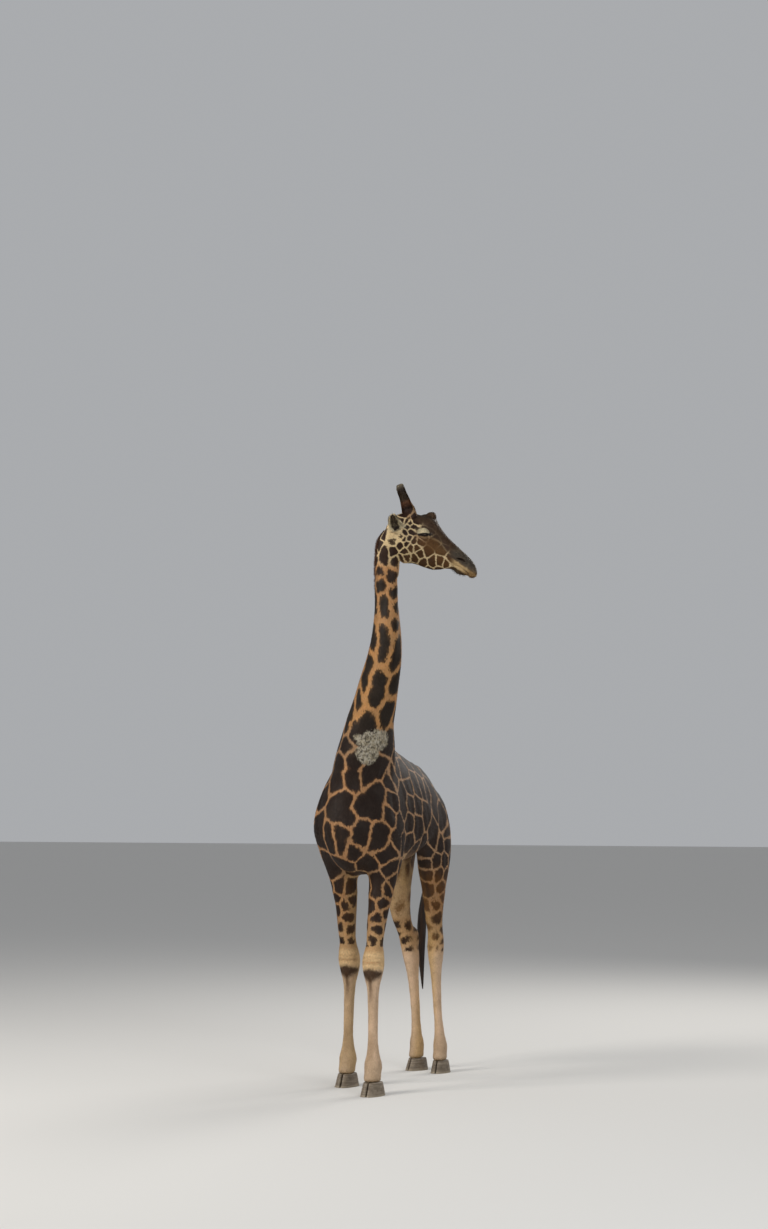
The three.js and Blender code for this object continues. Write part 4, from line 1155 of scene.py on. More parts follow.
def face_paint(over, a, s_of):
    """Lays the face's own colours, and painted shade in the nostrils' pits and along the mouth's groove; a is the
    head's own place with y made positive.
    """
    x, y, z = a.T
    top = ease(z, 96 - 0.18 * (x - 93), 150 - 0.18 * (x - 93))
    over.lay(0.9 * top * ease(x, -96, -50) * ease(x, 470, 380), (74, 54, 38))
    over.lay(0.85 * blob(a, (40, 60, 190), (90, 50, 70)), (60, 44, 30))
    over.lay(0.88 * stroke(a, [(210, 62, 160), (300, 46, 150), (400, 40, 122), (500, 34, 104)], 42), (70, 50, 32))
    over.lay(0.92 * stroke(a, [(250, 0, 190), (340, 0, 160), (470, 0, 140), (560, 0, 120)], 40), (78, 60, 44))
    over.lay(0.84 * blob(a, (250, 90, 44), (84, 44, 50), 0.4), (98, 66, 32))
    over.lay(0.75 * blob(a, (330, 68, 44), (54, 30, 34)), (100, 70, 36))
    over.lay(0.7 * stroke(a, [(352, 60, 104), (430, 56, 92)], 20), (64, 42, 26))
    over.lay(0.7 * stroke(a, [(216, 92, 84), (262, 80, 96), (300, 72, 96)], 11), (168, 138, 98))
    over.lay(0.6 * stroke(a, [(318, 68, 90), (366, 62, 72), (410, 60, 66)], 9), (160, 134, 98))
    # Muzzle: grey over the nostrils, pale upper lip, dark chin.
    over.lay(0.95 * ease(x, 385, 455) * ease(z, 34, 62), (92, 78, 62))
    over.lay(0.9 * blob(a, (530, 44, 98), (120, 60, 40)), (66, 58, 48))
    over.lay(0.75 * stroke(a, [(400, 52, 58), (450, 58, 62), (490, 62, 62)], 13), (52, 42, 32))
    over.lay(0.6 * stroke(a, [(440, 40, 120), (520, 34, 118), (590, 30, 104)], 12), (116, 102, 84))
    over.lay(0.92 * ease(x, 430, 490) * ease(z, 56, 40) * ease(z, -6, 12), (186, 158, 114))
    over.lay(0.85 * blob(a, (640, 10, 26), (60, 60, 40)), (128, 96, 56))
    over.lay(0.95 * ease(x, 462, 500) * ease(z, 12, -4), (70, 52, 32))
    over.lay(0.8 * blob(a, (602, 20, -12), (26, 40, 20)), (60, 44, 28))
    # The nostril's sculpted pit is painted near-black: painted shade in the hollow.
    off = a - NOSTRIL_AT
    slit = 9 * (1 - (off[:, 0] / 38) ** 2) - np.abs(off[:, 2] - 0.18 * off[:, 0] + 0.004 * off[:, 0] ** 2)
    over.lay(ease(slit, -8, 2) * (np.abs(off[:, 1]) < 40) * 0.9, (40, 28, 20))
    mouth = [(466, 42, 4), (500, 49, 18), (540, 53, 27), (585, 51, 29), (616, 44, 25), (634, 26, 12), (640, 0, 8)]
    # The mouth's groove is painted dark: painted shade along the crease between the lips.
    over.lay(stroke(a, mouth, 6), (44, 28, 20))
    # Lids.
    from_eye = a - EYE_AT
    along, above = from_eye @ EYE_ALONG, from_eye @ EYE_OVER
    here = (np.linalg.norm(from_eye, axis=1) < 90) * ease(from_eye @ EYE_OUT, -30, 0)
    hood = np.hypot((along + 8) / 50, (above - 18 + 0.006 * (along + 8) ** 2) / 25)
    over.lay(here * ease(hood, 1.5, 1.1) * ease(above, -6, 6) * 0.85, (74, 56, 40))
    over.lay(here * ease(hood, 1.04, 0.86) * (above > -8), (184, 170, 138))
    over.lay(0.6 * here * ease(np.abs(along), 50, 30) * np.exp(-((above + 36 - 0.008 * along ** 2) / 8) ** 2), (150, 122, 86))
    slit = np.hypot(along / 62, (above + 9) / np.where(above > -9, 9, 17))
    over.lay(here * ease(slit, 1.12, 0.86) * 0.96, (26, 18, 14))
    over.lay(0.6 * here * np.exp(-(((along - 60) / 7) ** 2 + ((above + 4) / 7) ** 2)), (120, 108, 92))


def eye_paint(over, local):
    for s in (1, -1):
        far, _, angle, along, before = eye_reading(local, s)
        inside = opening(along, before)
        close = (far < 70) * (angle < 100)
        over.lay(close * ease(inside, -5.0, -1.0), (22, 15, 12))


def ear_paint(over, local):
    for s in (1, -1):
        base, reach, across, up = ear_axes(s)
        off = local - base
        t = off @ reach / (reach @ reach)
        out = off - t[:, None] * reach
        sideways, front = out @ across, -(out @ up)
        mine = ease(t, 0.1, 0.22) * (np.abs(sideways) < 75) * (np.abs(front) < 60) * (t < 1.2)
        wide = Smooth([[r[0], r[1]] for r in EAR])(np.clip(t, -0.1, 1))[:, 0]
        rim = np.abs(sideways) / np.maximum(wide, 8)
        over.lay(mine * 0.95, (196, 180, 146))
        over.lay(mine * ease(front, -6, -16) * 0.75 * ease(t, 0.3, 0.6), (72, 52, 36))
        inside = mine * ease(rim, 0.74, 0.56) * ease(front, -24, -14) * ease(t, 0.08, 0.2) * ease(t, 0.97, 0.88)
        over.lay(inside, (34, 22, 17))
        over.lay(mine * ease(rim, 0.74, 0.88) * ease(front, -12, 0) * 0.8, (212, 200, 170))


def over_of(p, local):
    at_head, neck, trunk, leg = region(p)
    x, y, z = p.T
    over = Brush(len(p))
    a = np.column_stack([local[:, 0], np.abs(local[:, 1]), local[:, 2]])
    # A darker band along the chest's sculpted middle groove: painted shade in the crease.
    over.lay(ease(z, 2560, 2420) * stroke(p, [(20, -300, 2400), (0, -240, 2200), (0, -180, 1960)], 26) * 0.6, (66, 48, 34))
    for side in SIDES:
        middle = leg_middle("fore", side, np.clip(z, 0, 1600))
        turn = leg_turn("fore", side, np.clip(z, 0, 1600))
        dx, dy = x - middle[:, 0], y - middle[:, 1]
        out = dx * np.cos(turn) + dy * np.sin(turn)
        back = -dx * np.sin(turn) + dy * np.cos(turn)
        mine = (np.hypot(dx, dy - 40) < 150) * (y < 500) * ease(np.abs(dx), 150, 120)
        front = ease(back, 75, 10)
        over.lay(mine * ease(z, 1210, 1160) * ease(z, 1020, 1050) * 0.95, (214, 182, 136))
        # Two darker bands on the front of the pale knee lie in its sculpted creases: painted shade in the folds.
        over.lay(mine * front * 0.85 * np.exp(-((z - 1096) / 7) ** 2), (160, 120, 78))
        over.lay(mine * front * 0.6 * np.exp(-((z - 1130) / 6) ** 2), (176, 138, 92))
        wide = np.abs(out)
        dark = ease(z, 1064 - 0.3 * wide, 1036 - 0.3 * wide) * ease(z, 905 + 0.6 * wide, 955 + 0.6 * wide)
        over.lay(mine * dark * ease(back, 84, 40) * 0.96, (58, 37, 20))
        streak = ease(z, 700, 900) * ease(np.abs(out), 26, 8) * front * (z < 990)
        over.lay(mine * streak * 0.75, (78, 54, 32))
        over.lay(mine * ease(z, 560, 470) * ease(z, 230, 330) * front * ease(np.abs(out), 34, 12) * 0.3, (120, 92, 60))
    tail_here = (y > 1915) & (z > 1560)
    over.lay(tail_here * ease(z, 1860, 1700) * 0.9, (44, 28, 18))
    hoof_line = ease(z, 150, 116)
    over.lay(hoof_line * 0.8, (128, 104, 70))
    face = Brush(len(p))
    here = side_of_join(p)[0] > 30
    part = Brush(int(here.sum()))
    face_paint(part, a[here], None)
    eye_paint(part, local[here])
    ear_paint(part, local[here])
    strength = at_head[here] ** 0.5 * part.alpha
    face.rgb[here], face.alpha[here] = part.rgb, strength
    share = face.alpha / np.maximum(face.alpha + over.alpha * (1 - face.alpha), 1e-6)
    over.rgb += (face.rgb - over.rgb) * share[:, None]
    over.alpha = 1 - (1 - over.alpha) * (1 - face.alpha)
    return over


SCARS = [((270, -112, 2966), (172, 172, 98)), ((226, -136, 2866), (116, 116, 108)), ((182, -156, 2988), (96, 96, 70))]


def paints(p):
    """All that the material needs at each point, as named rows of numbers."""
    local = in_head(p)
    a = np.column_stack([local[:, 0], np.abs(local[:, 1]), local[:, 2]])
    at_head, neck, trunk, leg = region(p)
    f = fields(p)
    ground, dark, over = ground_of(p, a), dark_of(p, a), over_of(p, local)
    soft = 0.16 + 0.25 * leg * ease(p[:, 1], 900, 1100) + 0.2 * at_head * ease(a[:, 2], 60, -10) * ease(a[:, 0], 90, 200)
    inner = ease(np.abs(p[:, 0] + 5), 190, 90) * ease(p[:, 2], 1950, 1750)
    soft = soft + 0.5 * np.maximum(inner * (p[:, 1] > 800), pale_thigh(p))
    scar = np.max([blob(p, at, reach, 0.42) for at, reach in SCARS], axis=0)
    return dict(near_a=f[:, :3], near_b=f[:, 3:], soft=soft, scar=scar,
                ground=ground.rgb, dark=dark.rgb, over=np.column_stack([over.rgb, over.alpha]))


def write_attribute(mesh, name, rows):
    rows = np.asarray(rows, np.float32)
    if rows.ndim == 1:
        mesh.attributes.new(name, "FLOAT", "POINT").data.foreach_set("value", rows)
    elif name in ("ground", "dark", "over"):
        if rows.shape[1] == 3:
            rows = np.column_stack([rows, np.ones(len(rows), np.float32)])
        mesh.attributes.new(name, "FLOAT_COLOR", "POINT").data.foreach_set("color", np.ascontiguousarray(rows).ravel())
    else:
        mesh.attributes.new(name, "FLOAT_VECTOR", "POINT").data.foreach_set("vector", np.ascontiguousarray(rows).ravel())


ROW_MM = np.array(ROW_SHIFT, float)
SKIN_PAINTS = paints(SKIN_MM)
for name, rows in SKIN_PAINTS.items():
    write_attribute(skin.data, name, rows)
write_attribute(skin.data, "root", (SKIN_MM + ROW_MM) / 1000)
print("painted:", sorted(a.name for a in skin.data.attributes if not a.name.startswith(".")),
      "seconds:", round(time.time() - started, 1))


# %% [markdown]
# ## The hide's material
# One shader group turns the six fields into patches. The smallest field says whose patch a
# point is in; how much larger the next ones are says how far it is from the patch's edge.
# Noise on the fields gives the jagged edges. Every noise reads the "root" attribute, so a hair
# tuft gets the same colour as the skin it grows from.

# %% Building node groups
def group(name, inputs, outputs):
    tree = bpy.data.node_groups.new(name, "ShaderNodeTree")
    kinds = {"c": "NodeSocketColor", "f": "NodeSocketFloat", "v": "NodeSocketVector"}
    for label, kind, value in inputs:
        made = tree.interface.new_socket(name=label, in_out="INPUT", socket_type=kinds[kind])
        if value is not None:
            made.default_value = value
    for label, kind in outputs:
        tree.interface.new_socket(name=label, in_out="OUTPUT", socket_type=kinds[kind])
    return tree, tree.nodes.new("NodeGroupInput"), tree.nodes.new("NodeGroupOutput")


class Wiring:
    """Adds nodes and joins them with few words."""

    def __init__(self, tree):
        self.tree = tree

    def node(self, kind, **settings):
        made = self.tree.nodes.new("ShaderNode" + kind)
        for key, value in settings.items():
            setattr(made, key, value)
        return made

    def put(self, value, socket):
        if isinstance(value, bpy.types.NodeSocket):
            self.tree.links.new(value, socket)
        elif value is not None:
            socket.default_value = value

    def math(self, operation, *values, clamp=False):
        made = self.node("Math", operation=operation, use_clamp=clamp)
        for value, socket in zip(values, made.inputs):
            self.put(value, socket)
        return made.outputs[0]

    def attribute(self, name, what="Vector"):
        return self.node("Attribute", attribute_type="GEOMETRY", attribute_name=name).outputs[what]

    def noise(self, vector, scale, detail=3.0, rough=0.55, what="Fac", squash=None):
        if squash:
            spread_out = self.node("Mapping")
            self.put(vector, spread_out.inputs["Vector"])
            spread_out.inputs["Scale"].default_value = squash
            vector = spread_out.outputs[0]
        made = self.node("TexNoise")
        self.put(vector, made.inputs["Vector"])
        made.inputs["Scale"].default_value = scale
        made.inputs["Detail"].default_value = detail
        made.inputs["Roughness"].default_value = rough
        return made.outputs[what]

    def remap(self, value, low, high, to_low=0.0, to_high=1.0, smooth=True):
        made = self.node("MapRange", interpolation_type="SMOOTHSTEP" if smooth else "LINEAR")
        for v, socket in zip((value, low, high, to_low, to_high), made.inputs):
            self.put(v, socket)
        return made.outputs[0]

    def mix(self, share, first, second, blend="MIX"):
        made = self.node("Mix", data_type="RGBA", blend_type=blend)
        self.put(share, made.inputs[0])
        self.put(first, made.inputs[6])
        self.put(second, made.inputs[7])
        return made.outputs[2]


def make_markings():
    tree, given, out = group("markings", [("Jagged", "f", 0.5)], [("Color", "c"), ("Patch", "f"), ("Bare", "f")])
    w = Wiring(tree)
    root = w.attribute("root")
    near = []
    for name in ("near_a", "near_b"):
        split = w.node("SeparateXYZ")
        w.put(w.attribute(name), split.inputs[0])
        near += list(split.outputs)
    wobble = w.node("SeparateXYZ")
    w.put(w.noise(root, 26, 3, 0.65, "Color"), wobble.inputs[0])
    ripple = w.node("SeparateXYZ")
    w.put(w.noise(root, 75, 2, 0.6, "Color"), ripple.inputs[0])
    teeth = w.math("SUBTRACT", w.noise(root, 120, 2, 0.6, squash=(1, 1, 0.4)), 0.5)
    moved = []
    for i, value in enumerate(near):
        both = w.math("ADD", wobble.outputs[i % 3], w.math("MULTIPLY", ripple.outputs[i % 3], 0.55))
        push = w.math("MULTIPLY", w.math("SUBTRACT", both, 0.775), given.outputs["Jagged"])
        push = w.math("MULTIPLY", push, 1.0 if i < 3 else -1.0)
        moved.append(w.math("ADD", value, push))
    least = moved[0]
    for value in moved[1:]:
        least = w.math("MINIMUM", least, value)
    total = None
    for value in moved:
        gain = w.math("POWER", 0.03, w.math("SUBTRACT", value, least))
        total = gain if total is None else w.math("ADD", total, gain)
    inside = w.math("MULTIPLY", w.math("LOGARITHM", w.math("MAXIMUM", w.math("SUBTRACT", total, 1.0), 1e-6), 0.03), 1.0)
    inside = w.math("ADD", inside, w.math("MULTIPLY", teeth, 0.9))
    soft = w.attribute("soft", "Fac")
    patch = w.remap(inside, w.math("SUBTRACT", 0.9, soft), w.math("ADD", 0.9, soft))
    tone = w.noise(root, 9, 4, 0.6)
    fine = w.noise(root, 160, 2, 0.6, squash=(1, 1, 0.3))
    # Where the large noise is high, the patches are lightened towards greyish brown: a painted sheen on the hair, laid
    # at random places.
    dark = w.mix(w.remap(tone, 0.42, 0.75, 0, 0.22), w.attribute("dark", "Color"), (0.066, 0.048, 0.036, 1))
    rim = w.math("MULTIPLY", w.remap(inside, 0.9, 2.2, 1, 0), 0.35)
    dark = w.mix(rim, dark, w.mix(0.35, w.attribute("dark", "Color"), w.attribute("ground", "Color")))
    ground = w.mix(w.remap(tone, 0.3, 0.7, 0.0, 0.35), w.attribute("ground", "Color"), (0.26, 0.165, 0.088, 1))
    ground = w.mix(w.remap(fine, 0.35, 0.75, 0.0, 0.22), ground, (0.62, 0.46, 0.30, 1))
    dark = w.mix(w.remap(fine, 0.45, 0.8, 0.0, 0.12), dark, (0.12, 0.085, 0.06, 1))
    hide = w.mix(patch, ground, dark)
    over = w.node("Attribute", attribute_type="GEOMETRY", attribute_name="over")
    speck = w.remap(w.noise(root, 70, 3, 0.6), 0.3, 0.7, 0.82, 1.08)
    shaded = w.mix(1.0, over.outputs["Color"], w.node("CombineColor").outputs[0], "MULTIPLY")
    grey = w.tree.nodes[-1]
    for node in tree.nodes:
        if node.bl_idname == "ShaderNodeCombineColor":
            for socket in node.inputs:
                w.put(speck, socket)
    strength = w.math("MULTIPLY", over.outputs["Alpha"], w.remap(w.noise(root, 40, 3, 0.6), 0.2, 0.5, 0.86, 1.0))
    hide = w.mix(strength, hide, shaded)
    scar = w.attribute("scar", "Fac")
    worn = w.noise(root, 24, 5, 0.7)
    bare = w.remap(w.math("MULTIPLY", scar, w.remap(worn, 0.2, 0.8, 0.1, 1.9, smooth=False)), 0.42, 0.6)
    flecks = w.remap(w.noise(root, 62, 4, 0.75, squash=(0.7, 0.7, 1.5)), 0.47, 0.6)
    pale = w.mix(w.remap(worn, 0.35, 0.65), (0.56, 0.51, 0.41, 1), (0.34, 0.28, 0.18, 1))
    scarred = w.mix(flecks, pale, (0.055, 0.042, 0.030, 1))
    hide = w.mix(bare, hide, scarred)
    w.put(hide, out.inputs["Color"])
    w.put(patch, out.inputs["Patch"])
    w.put(bare, out.inputs["Bare"])
    return tree


MARKINGS = make_markings()


def make_fur_relief():
    """Short hairs lying down: fine stretched ridges, used as height."""
    tree, given, out = group("fur_relief", [("Vector", "v", None), ("Length", "f", 1.0)], [("Height", "f")])
    w = Wiring(tree)
    vector = given.outputs["Vector"]
    strands = w.noise(vector, 420, 2, 0.55, squash=(1, 1, 0.16))
    clumps = w.noise(vector, 90, 3, 0.6, squash=(1, 1, 0.4))
    folds = w.noise(vector, 16, 3, 0.5)
    height = w.math("ADD", w.math("MULTIPLY", strands, 0.45), w.math("MULTIPLY", clumps, 0.8))
    height = w.math("ADD", height, w.math("MULTIPLY", folds, 1.2))
    w.put(w.math("MULTIPLY", height, given.outputs["Length"]), out.inputs["Height"])
    return tree


FUR_RELIEF = make_fur_relief()
print("node groups:", [g.name for g in bpy.data.node_groups])


# %% The hide
def material(name):
    made = bpy.data.materials.new(name)
    made.use_nodes = True
    w = Wiring(made.node_tree)
    return made, w, made.node_tree.nodes["Principled BSDF"]


def use(w, tree, **values):
    made = w.node("Group")
    made.node_tree = tree
    for key, value in values.items():
        w.put(value, made.inputs[key])
    return made


hide, w, face_shader = material("hide")
pelt = use(w, MARKINGS, Jagged=2.2)
relief = use(w, FUR_RELIEF, Vector=w.attribute("root"), Length=1.0)
bump = w.node("Bump")
bump.inputs["Strength"].default_value = 0.5
bump.inputs["Distance"].default_value = 0.004
w.put(relief.outputs["Height"], bump.inputs["Height"])
w.put(pelt.outputs["Color"], face_shader.inputs["Base Color"])
w.put(bump.outputs[0], face_shader.inputs["Normal"])
w.put(w.remap(pelt.outputs["Patch"], 0, 1, 0.62, 0.52), face_shader.inputs["Roughness"])
face_shader.inputs["Specular IOR Level"].default_value = 0.18
skin.data.materials.clear()
skin.data.materials.append(hide)
print("hide nodes:", len(hide.node_tree.nodes))


# %% [markdown]
# ## Unwrapping the skin
# Each of the coat's tufts gets a small patch of a map at its root's place on the skin. So
# the skin is unwrapped first, region by region, with Smart UV Project, which follows the skin's
# own shape.

# %% Unwrapping by region
skin.data.calc_loop_triangles()
REGION_OF_POINT = np.argmax(np.stack(region(SKIN_MM), 1), axis=1)      # head, neck, trunk, legs
skin_starts = np.empty(len(skin.data.polygons), np.int32)
skin.data.polygons.foreach_get("loop_start", skin_starts)
skin_corners = np.empty(len(skin.data.loops), np.int32)
skin.data.loops.foreach_get("vertex_index", skin_corners)
REGION_OF_FACE = REGION_OF_POINT[skin_corners[skin_starts]]
lie_map = skin.data.uv_layers.new(name="lie")
skin.data.uv_layers.active = lie_map
for number in range(4):
    only(skin)
    skin.data.vertices.foreach_set("select", np.zeros(len(skin.data.vertices), bool))
    skin.data.edges.foreach_set("select", np.zeros(len(skin.data.edges), bool))
    skin.data.polygons.foreach_set("select", REGION_OF_FACE == number)
    bpy.ops.object.mode_set(mode="EDIT")
    bpy.ops.mesh.select_mode(type="FACE")
    bpy.ops.uv.smart_project(angle_limit=math.radians(66), island_margin=0.003, area_weight=0.0,
                             correct_aspect=False, scale_to_bounds=True)
    done()
flat = np.empty(len(skin.data.loops) * 2, np.float32)
skin.data.uv_layers["lie"].data.foreach_get("uv", flat)
SKIN_UV = flat.reshape(-1, 2).copy()
loop_region = np.repeat(REGION_OF_FACE, np.diff(np.append(skin_starts, len(skin_corners))))
quarter = np.array([[0, 0.5], [0.5, 0.5], [0, 0], [0.5, 0]])[loop_region]
bake_map = skin.data.uv_layers.new(name="OFBake")
bake_map.data.foreach_set("uv", np.ascontiguousarray(SKIN_UV * 0.494 + 0.003 + quarter, dtype=np.float32).ravel())
skin.data.uv_layers.remove(skin.data.uv_layers["lie"])
print("unwrapped, seconds:", round(time.time() - started, 1))


# %% [markdown]
# ## Which way the hair lies
# Hair lies from the nose back over the face, down the neck and legs, and back and down over
# the trunk. The direction is taken along the surface at each root.

# %% Lie of the coat
def lie_of(p, out):
    at_head, neck, trunk, leg = region(p)
    local = in_head(p)
    back = np.tile(np.array([-1.0, 0, -0.12]), (len(p), 1))
    side = np.sign(local[:, 1])
    below_eye = blob(np.column_stack([local[:, 0], np.abs(local[:, 1]), local[:, 2]]), (150, 100, 10), (90, 60, 70))
    back[:, 2] -= 0.9 * below_eye
    back[:, 2] += 1.1 * ease(local[:, 2], 120, 200) * ease(local[:, 0], 80, 0)
    back = back @ HEAD_TO_BODY[:3, :3].T
    down = np.array([0.0, 0.10, -1.0])
    rear = np.array([0.0, 0.80, -0.60])
    way = at_head[:, None] * unit(back) + (neck + leg)[:, None] * down + trunk[:, None] * rear
    chest = ease(p[:, 1], 160, -60) * trunk
    way = way * (1 - chest[:, None]) + chest[:, None] * down
    way = way - out * (way * out).sum(1)[:, None]
    return unit(way)


# %% [markdown]
# ## Short coat
# Short hair is made as real mesh: thin slivers of three triangles, a few millimetres wide,
# that lie along the skin and lift a little at their tips. A tuft is coloured by the skin under
# its middle, so skin and coat show the same patches. Tufts are smallest on face and feet.

# %% Growing tufts
def skin_samples(count, wanted):
    """Random roots on the skin; wanted gives how thickly they stand at each point."""
    tris = len(skin.data.loop_triangles)
    ends = np.empty(tris * 3, np.int32)
    skin.data.loop_triangles.foreach_get("vertices", ends)
    loops = np.empty(tris * 3, np.int32)
    skin.data.loop_triangles.foreach_get("loops", loops)
    area = np.empty(tris)
    skin.data.loop_triangles.foreach_get("area", area)
    ends, loops = ends.reshape(-1, 3), loops.reshape(-1, 3)
    share = area * wanted[ends].mean(1)
    pick = luck.choice(tris, count, p=share / share.sum())
    u, v = luck.random(count), luck.random(count)
    flip = u + v > 1
    u[flip], v[flip] = 1 - u[flip], 1 - v[flip]
    weight = np.stack([1 - u - v, u, v], 1)
    return ends[pick], loops[pick], weight


def blended(rows, ends, weight):
    if rows.ndim == 1:
        return (rows[ends] * weight).sum(1)
    return (rows[ends] * weight[:, :, None]).sum(1)


def make_hair_mesh(name, points, faces, corner_map, paints_by_tuft, per_tuft):
    """Builds one mesh from arrays: points in millimetres, faces as rows of corner numbers."""
    mesh = bpy.data.meshes.new(name)
    mesh.vertices.add(len(points))
    mesh.vertices.foreach_set("co", np.ascontiguousarray((points + ROW_MM) / 1000, dtype=np.float32).ravel())
    mesh.loops.add(len(faces) * 3)
    mesh.loops.foreach_set("vertex_index", np.ascontiguousarray(faces, dtype=np.int32).ravel())
    mesh.polygons.add(len(faces))
    mesh.polygons.foreach_set("loop_start", np.arange(0, len(faces) * 3, 3, dtype=np.int32))
    mesh.polygons.foreach_set("use_smooth", np.ones(len(faces), bool))
    mesh.update(calc_edges=True)
    uv = mesh.uv_layers.new(name="OFBake")
    uv.data.foreach_set("uv", np.ascontiguousarray(corner_map[faces.ravel()], dtype=np.float32).ravel())
    for key, rows in paints_by_tuft.items():
        write_attribute(mesh, key, np.repeat(np.asarray(rows, np.float32), per_tuft, axis=0))
    piece = bpy.data.objects.new(name, mesh)
    bpy.context.scene.collection.objects.link(piece)
    return piece


def tufts(name, number, count, wanted, size, lift):
    """A coat piece. size(p) gives length and width in mm, lift the height of the tips."""
    wanted = wanted * (REGION_OF_POINT == number)
    ends, loops, weight = skin_samples(count, wanted)
    p, out = blended(SKIN_MM, ends, weight), unit(blended(SKIN_OUT, ends, weight))
    uv = blended(SKIN_UV, loops, weight)
    length, width = size(p)
    length = length * luck.uniform(0.7, 1.25, count)
    width = width * luck.uniform(0.7, 1.2, count)
    way = lie_of(p, out)
    across = np.cross(out, way)
    sway = np.radians(luck.normal(0, 9, count))[:, None]
    way = way * np.cos(sway) + across * np.sin(sway)
    across = np.cross(out, way)
    high = (lift(p) * luck.uniform(0.6, 1.1, count))[:, None]
    half, reach = (width / 2)[:, None], length[:, None]
    root = p - out * 0.8
    middle = p + way * reach * 0.5 + out * high * 0.7
    tip = p + way * reach + out * high * 0.9 + across * (luck.normal(0, 0.08, count) * length)[:, None]
    rows = np.stack([root - across * half * 0.8, root + across * half * 0.8,
                     middle + across * half, middle - across * half, tip], 1)
    base = np.arange(count)[:, None, None] * 5
    faces = (base + np.array([[0, 1, 2], [0, 2, 3], [3, 2, 4]])).reshape(-1, 3)
    small = 0.0013
    corner = np.array([[-small, -small], [small, -small], [small, small], [-small, small], [0, small * 1.2]])
    corner_map = (uv[:, None, :] + corner).reshape(-1, 2)
    seen = p + way * reach * 0.5
    local = {k: blended(v, ends, weight) for k, v in SKIN_PAINTS.items() if not k.startswith("near")}
    f = fields(seen)
    local["near_a"], local["near_b"] = f[:, :3], f[:, 3:]
    local["root"] = (seen + ROW_MM) / 1000
    return make_hair_mesh(name, rows.reshape(-1, 3), faces, corner_map, local, 5)


SKIN_LOCAL = in_head(SKIN_MM)
SIDE_LOCAL = np.column_stack([SKIN_LOCAL[:, 0], np.abs(SKIN_LOCAL[:, 1]), SKIN_LOCAL[:, 2]])


def bare_places():
    """1 where hair may grow, 0 in the eyes' openings, nostrils, ears and hooves."""
    grow = np.ones(len(SKIN_MM))
    for s in (1, -1):
        far, _, angle, along, before = eye_reading(SKIN_LOCAL, s)
        grow *= 1 - (far < 60) * (angle < 110) * ease(opening(along, before), -9, -5)
        grow *= 1 - 0.85 * (far < 48) * (angle < 80)
        base, reach, across, up = ear_axes(s)
        off = SKIN_LOCAL - base
        t = off @ reach / (reach @ reach)
        front = -((off - t[:, None] * reach) @ up)
        grow *= 1 - ((t > 0.2) & (t < 1.05) & (front > -26) & (front < 20) & (np.abs(off @ across) < 44))
    off = SIDE_LOCAL - NOSTRIL_AT
    grow *= ease(np.hypot(off[:, 0] / 1.7, off[:, 2]), 14, 22)
    grow *= ease(SKIN_MM[:, 2], 118, 126)
    return grow


GROW = bare_places()
THIN = 1.0


def size_head(p):
    x = in_head(p)[:, 0]
    small = ease(x, 380, 520)
    return 13 - 6 * small, 2.3 - 0.8 * small


def size_leg(p):
    low = ease(p[:, 2], 1300, 500)
    return 19 - 5 * low, 3.5 - 1.0 * low


coat = [
    tufts("coat_head", 0, int(64000 * THIN), GROW, size_head, lambda p: np.full(len(p), 2.4)),
    tufts("coat_neck", 1, int(64000 * THIN), GROW, lambda p: (np.full(len(p), 21.0), np.full(len(p), 3.8)),
          lambda p: np.full(len(p), 4.5)),
    tufts("coat_trunk_front", 2, int(63000 * THIN), GROW * (SKIN_MM[:, 1] < 640),
          lambda p: (np.full(len(p), 23.0), np.full(len(p), 4.4)), lambda p: np.full(len(p), 5.0)),
    tufts("coat_trunk_rear", 2, int(64000 * THIN), GROW * (SKIN_MM[:, 1] >= 640),
          lambda p: (np.full(len(p), 23.0), np.full(len(p), 4.4)), lambda p: np.full(len(p), 5.0)),
    tufts("coat_fore_legs", 3, int(60000 * THIN), GROW * (SKIN_MM[:, 1] < 800), size_leg, lambda p: np.full(len(p), 3.0)),
    tufts("coat_hind_legs", 3, int(64000 * THIN), GROW * (SKIN_MM[:, 1] >= 800), size_leg, lambda p: np.full(len(p), 3.0)),
]
print("coat triangles:", {piece.name: len(piece.data.polygons) for piece in coat})
print("seconds:", round(time.time() - started, 1))


# %% [markdown]
# ## Hair materials
# The short coat takes its colour from the same markings group as the skin. Long hair of the
# mane, tail and ears has its own colour written on each strand.

# %% Hair
short_hair, w, shader = material("short_hair")
pelt = use(w, MARKINGS, Jagged=2.2)
each = w.noise(w.attribute("root"), 900, 1, 0.5)
toned = w.node("HueSaturation")
w.put(w.remap(each, 0.3, 0.7, 0.78, 1.22), toned.inputs["Value"])
w.put(pelt.outputs["Color"], toned.inputs["Color"])
w.put(toned.outputs[0], shader.inputs["Base Color"])
w.put(w.remap(each, 0.3, 0.7, 0.5, 0.66), shader.inputs["Roughness"])
shader.inputs["Specular IOR Level"].default_value = 0.18
for piece in coat:
    piece.data.materials.append(short_hair)

long_hair, w, shader = material("long_hair")
each = w.noise(w.attribute("root"), 700, 2, 0.5)
toned = w.node("HueSaturation")
w.put(w.remap(each, 0.3, 0.7, 0.7, 1.3), toned.inputs["Value"])
w.put(w.attribute("ground", "Color"), toned.inputs["Color"])
w.put(toned.outputs[0], shader.inputs["Base Color"])
w.put(w.remap(each, 0.3, 0.7, 0.38, 0.55), shader.inputs["Roughness"])
shader.inputs["Specular IOR Level"].default_value = 0.4


# %% [markdown]
# ## Mane, tail brush, lashes and fringes
# These are longer hairs in bent locks: a ribbon of a few segments that narrows to its tip and
# turns about itself, so it shows from every side.

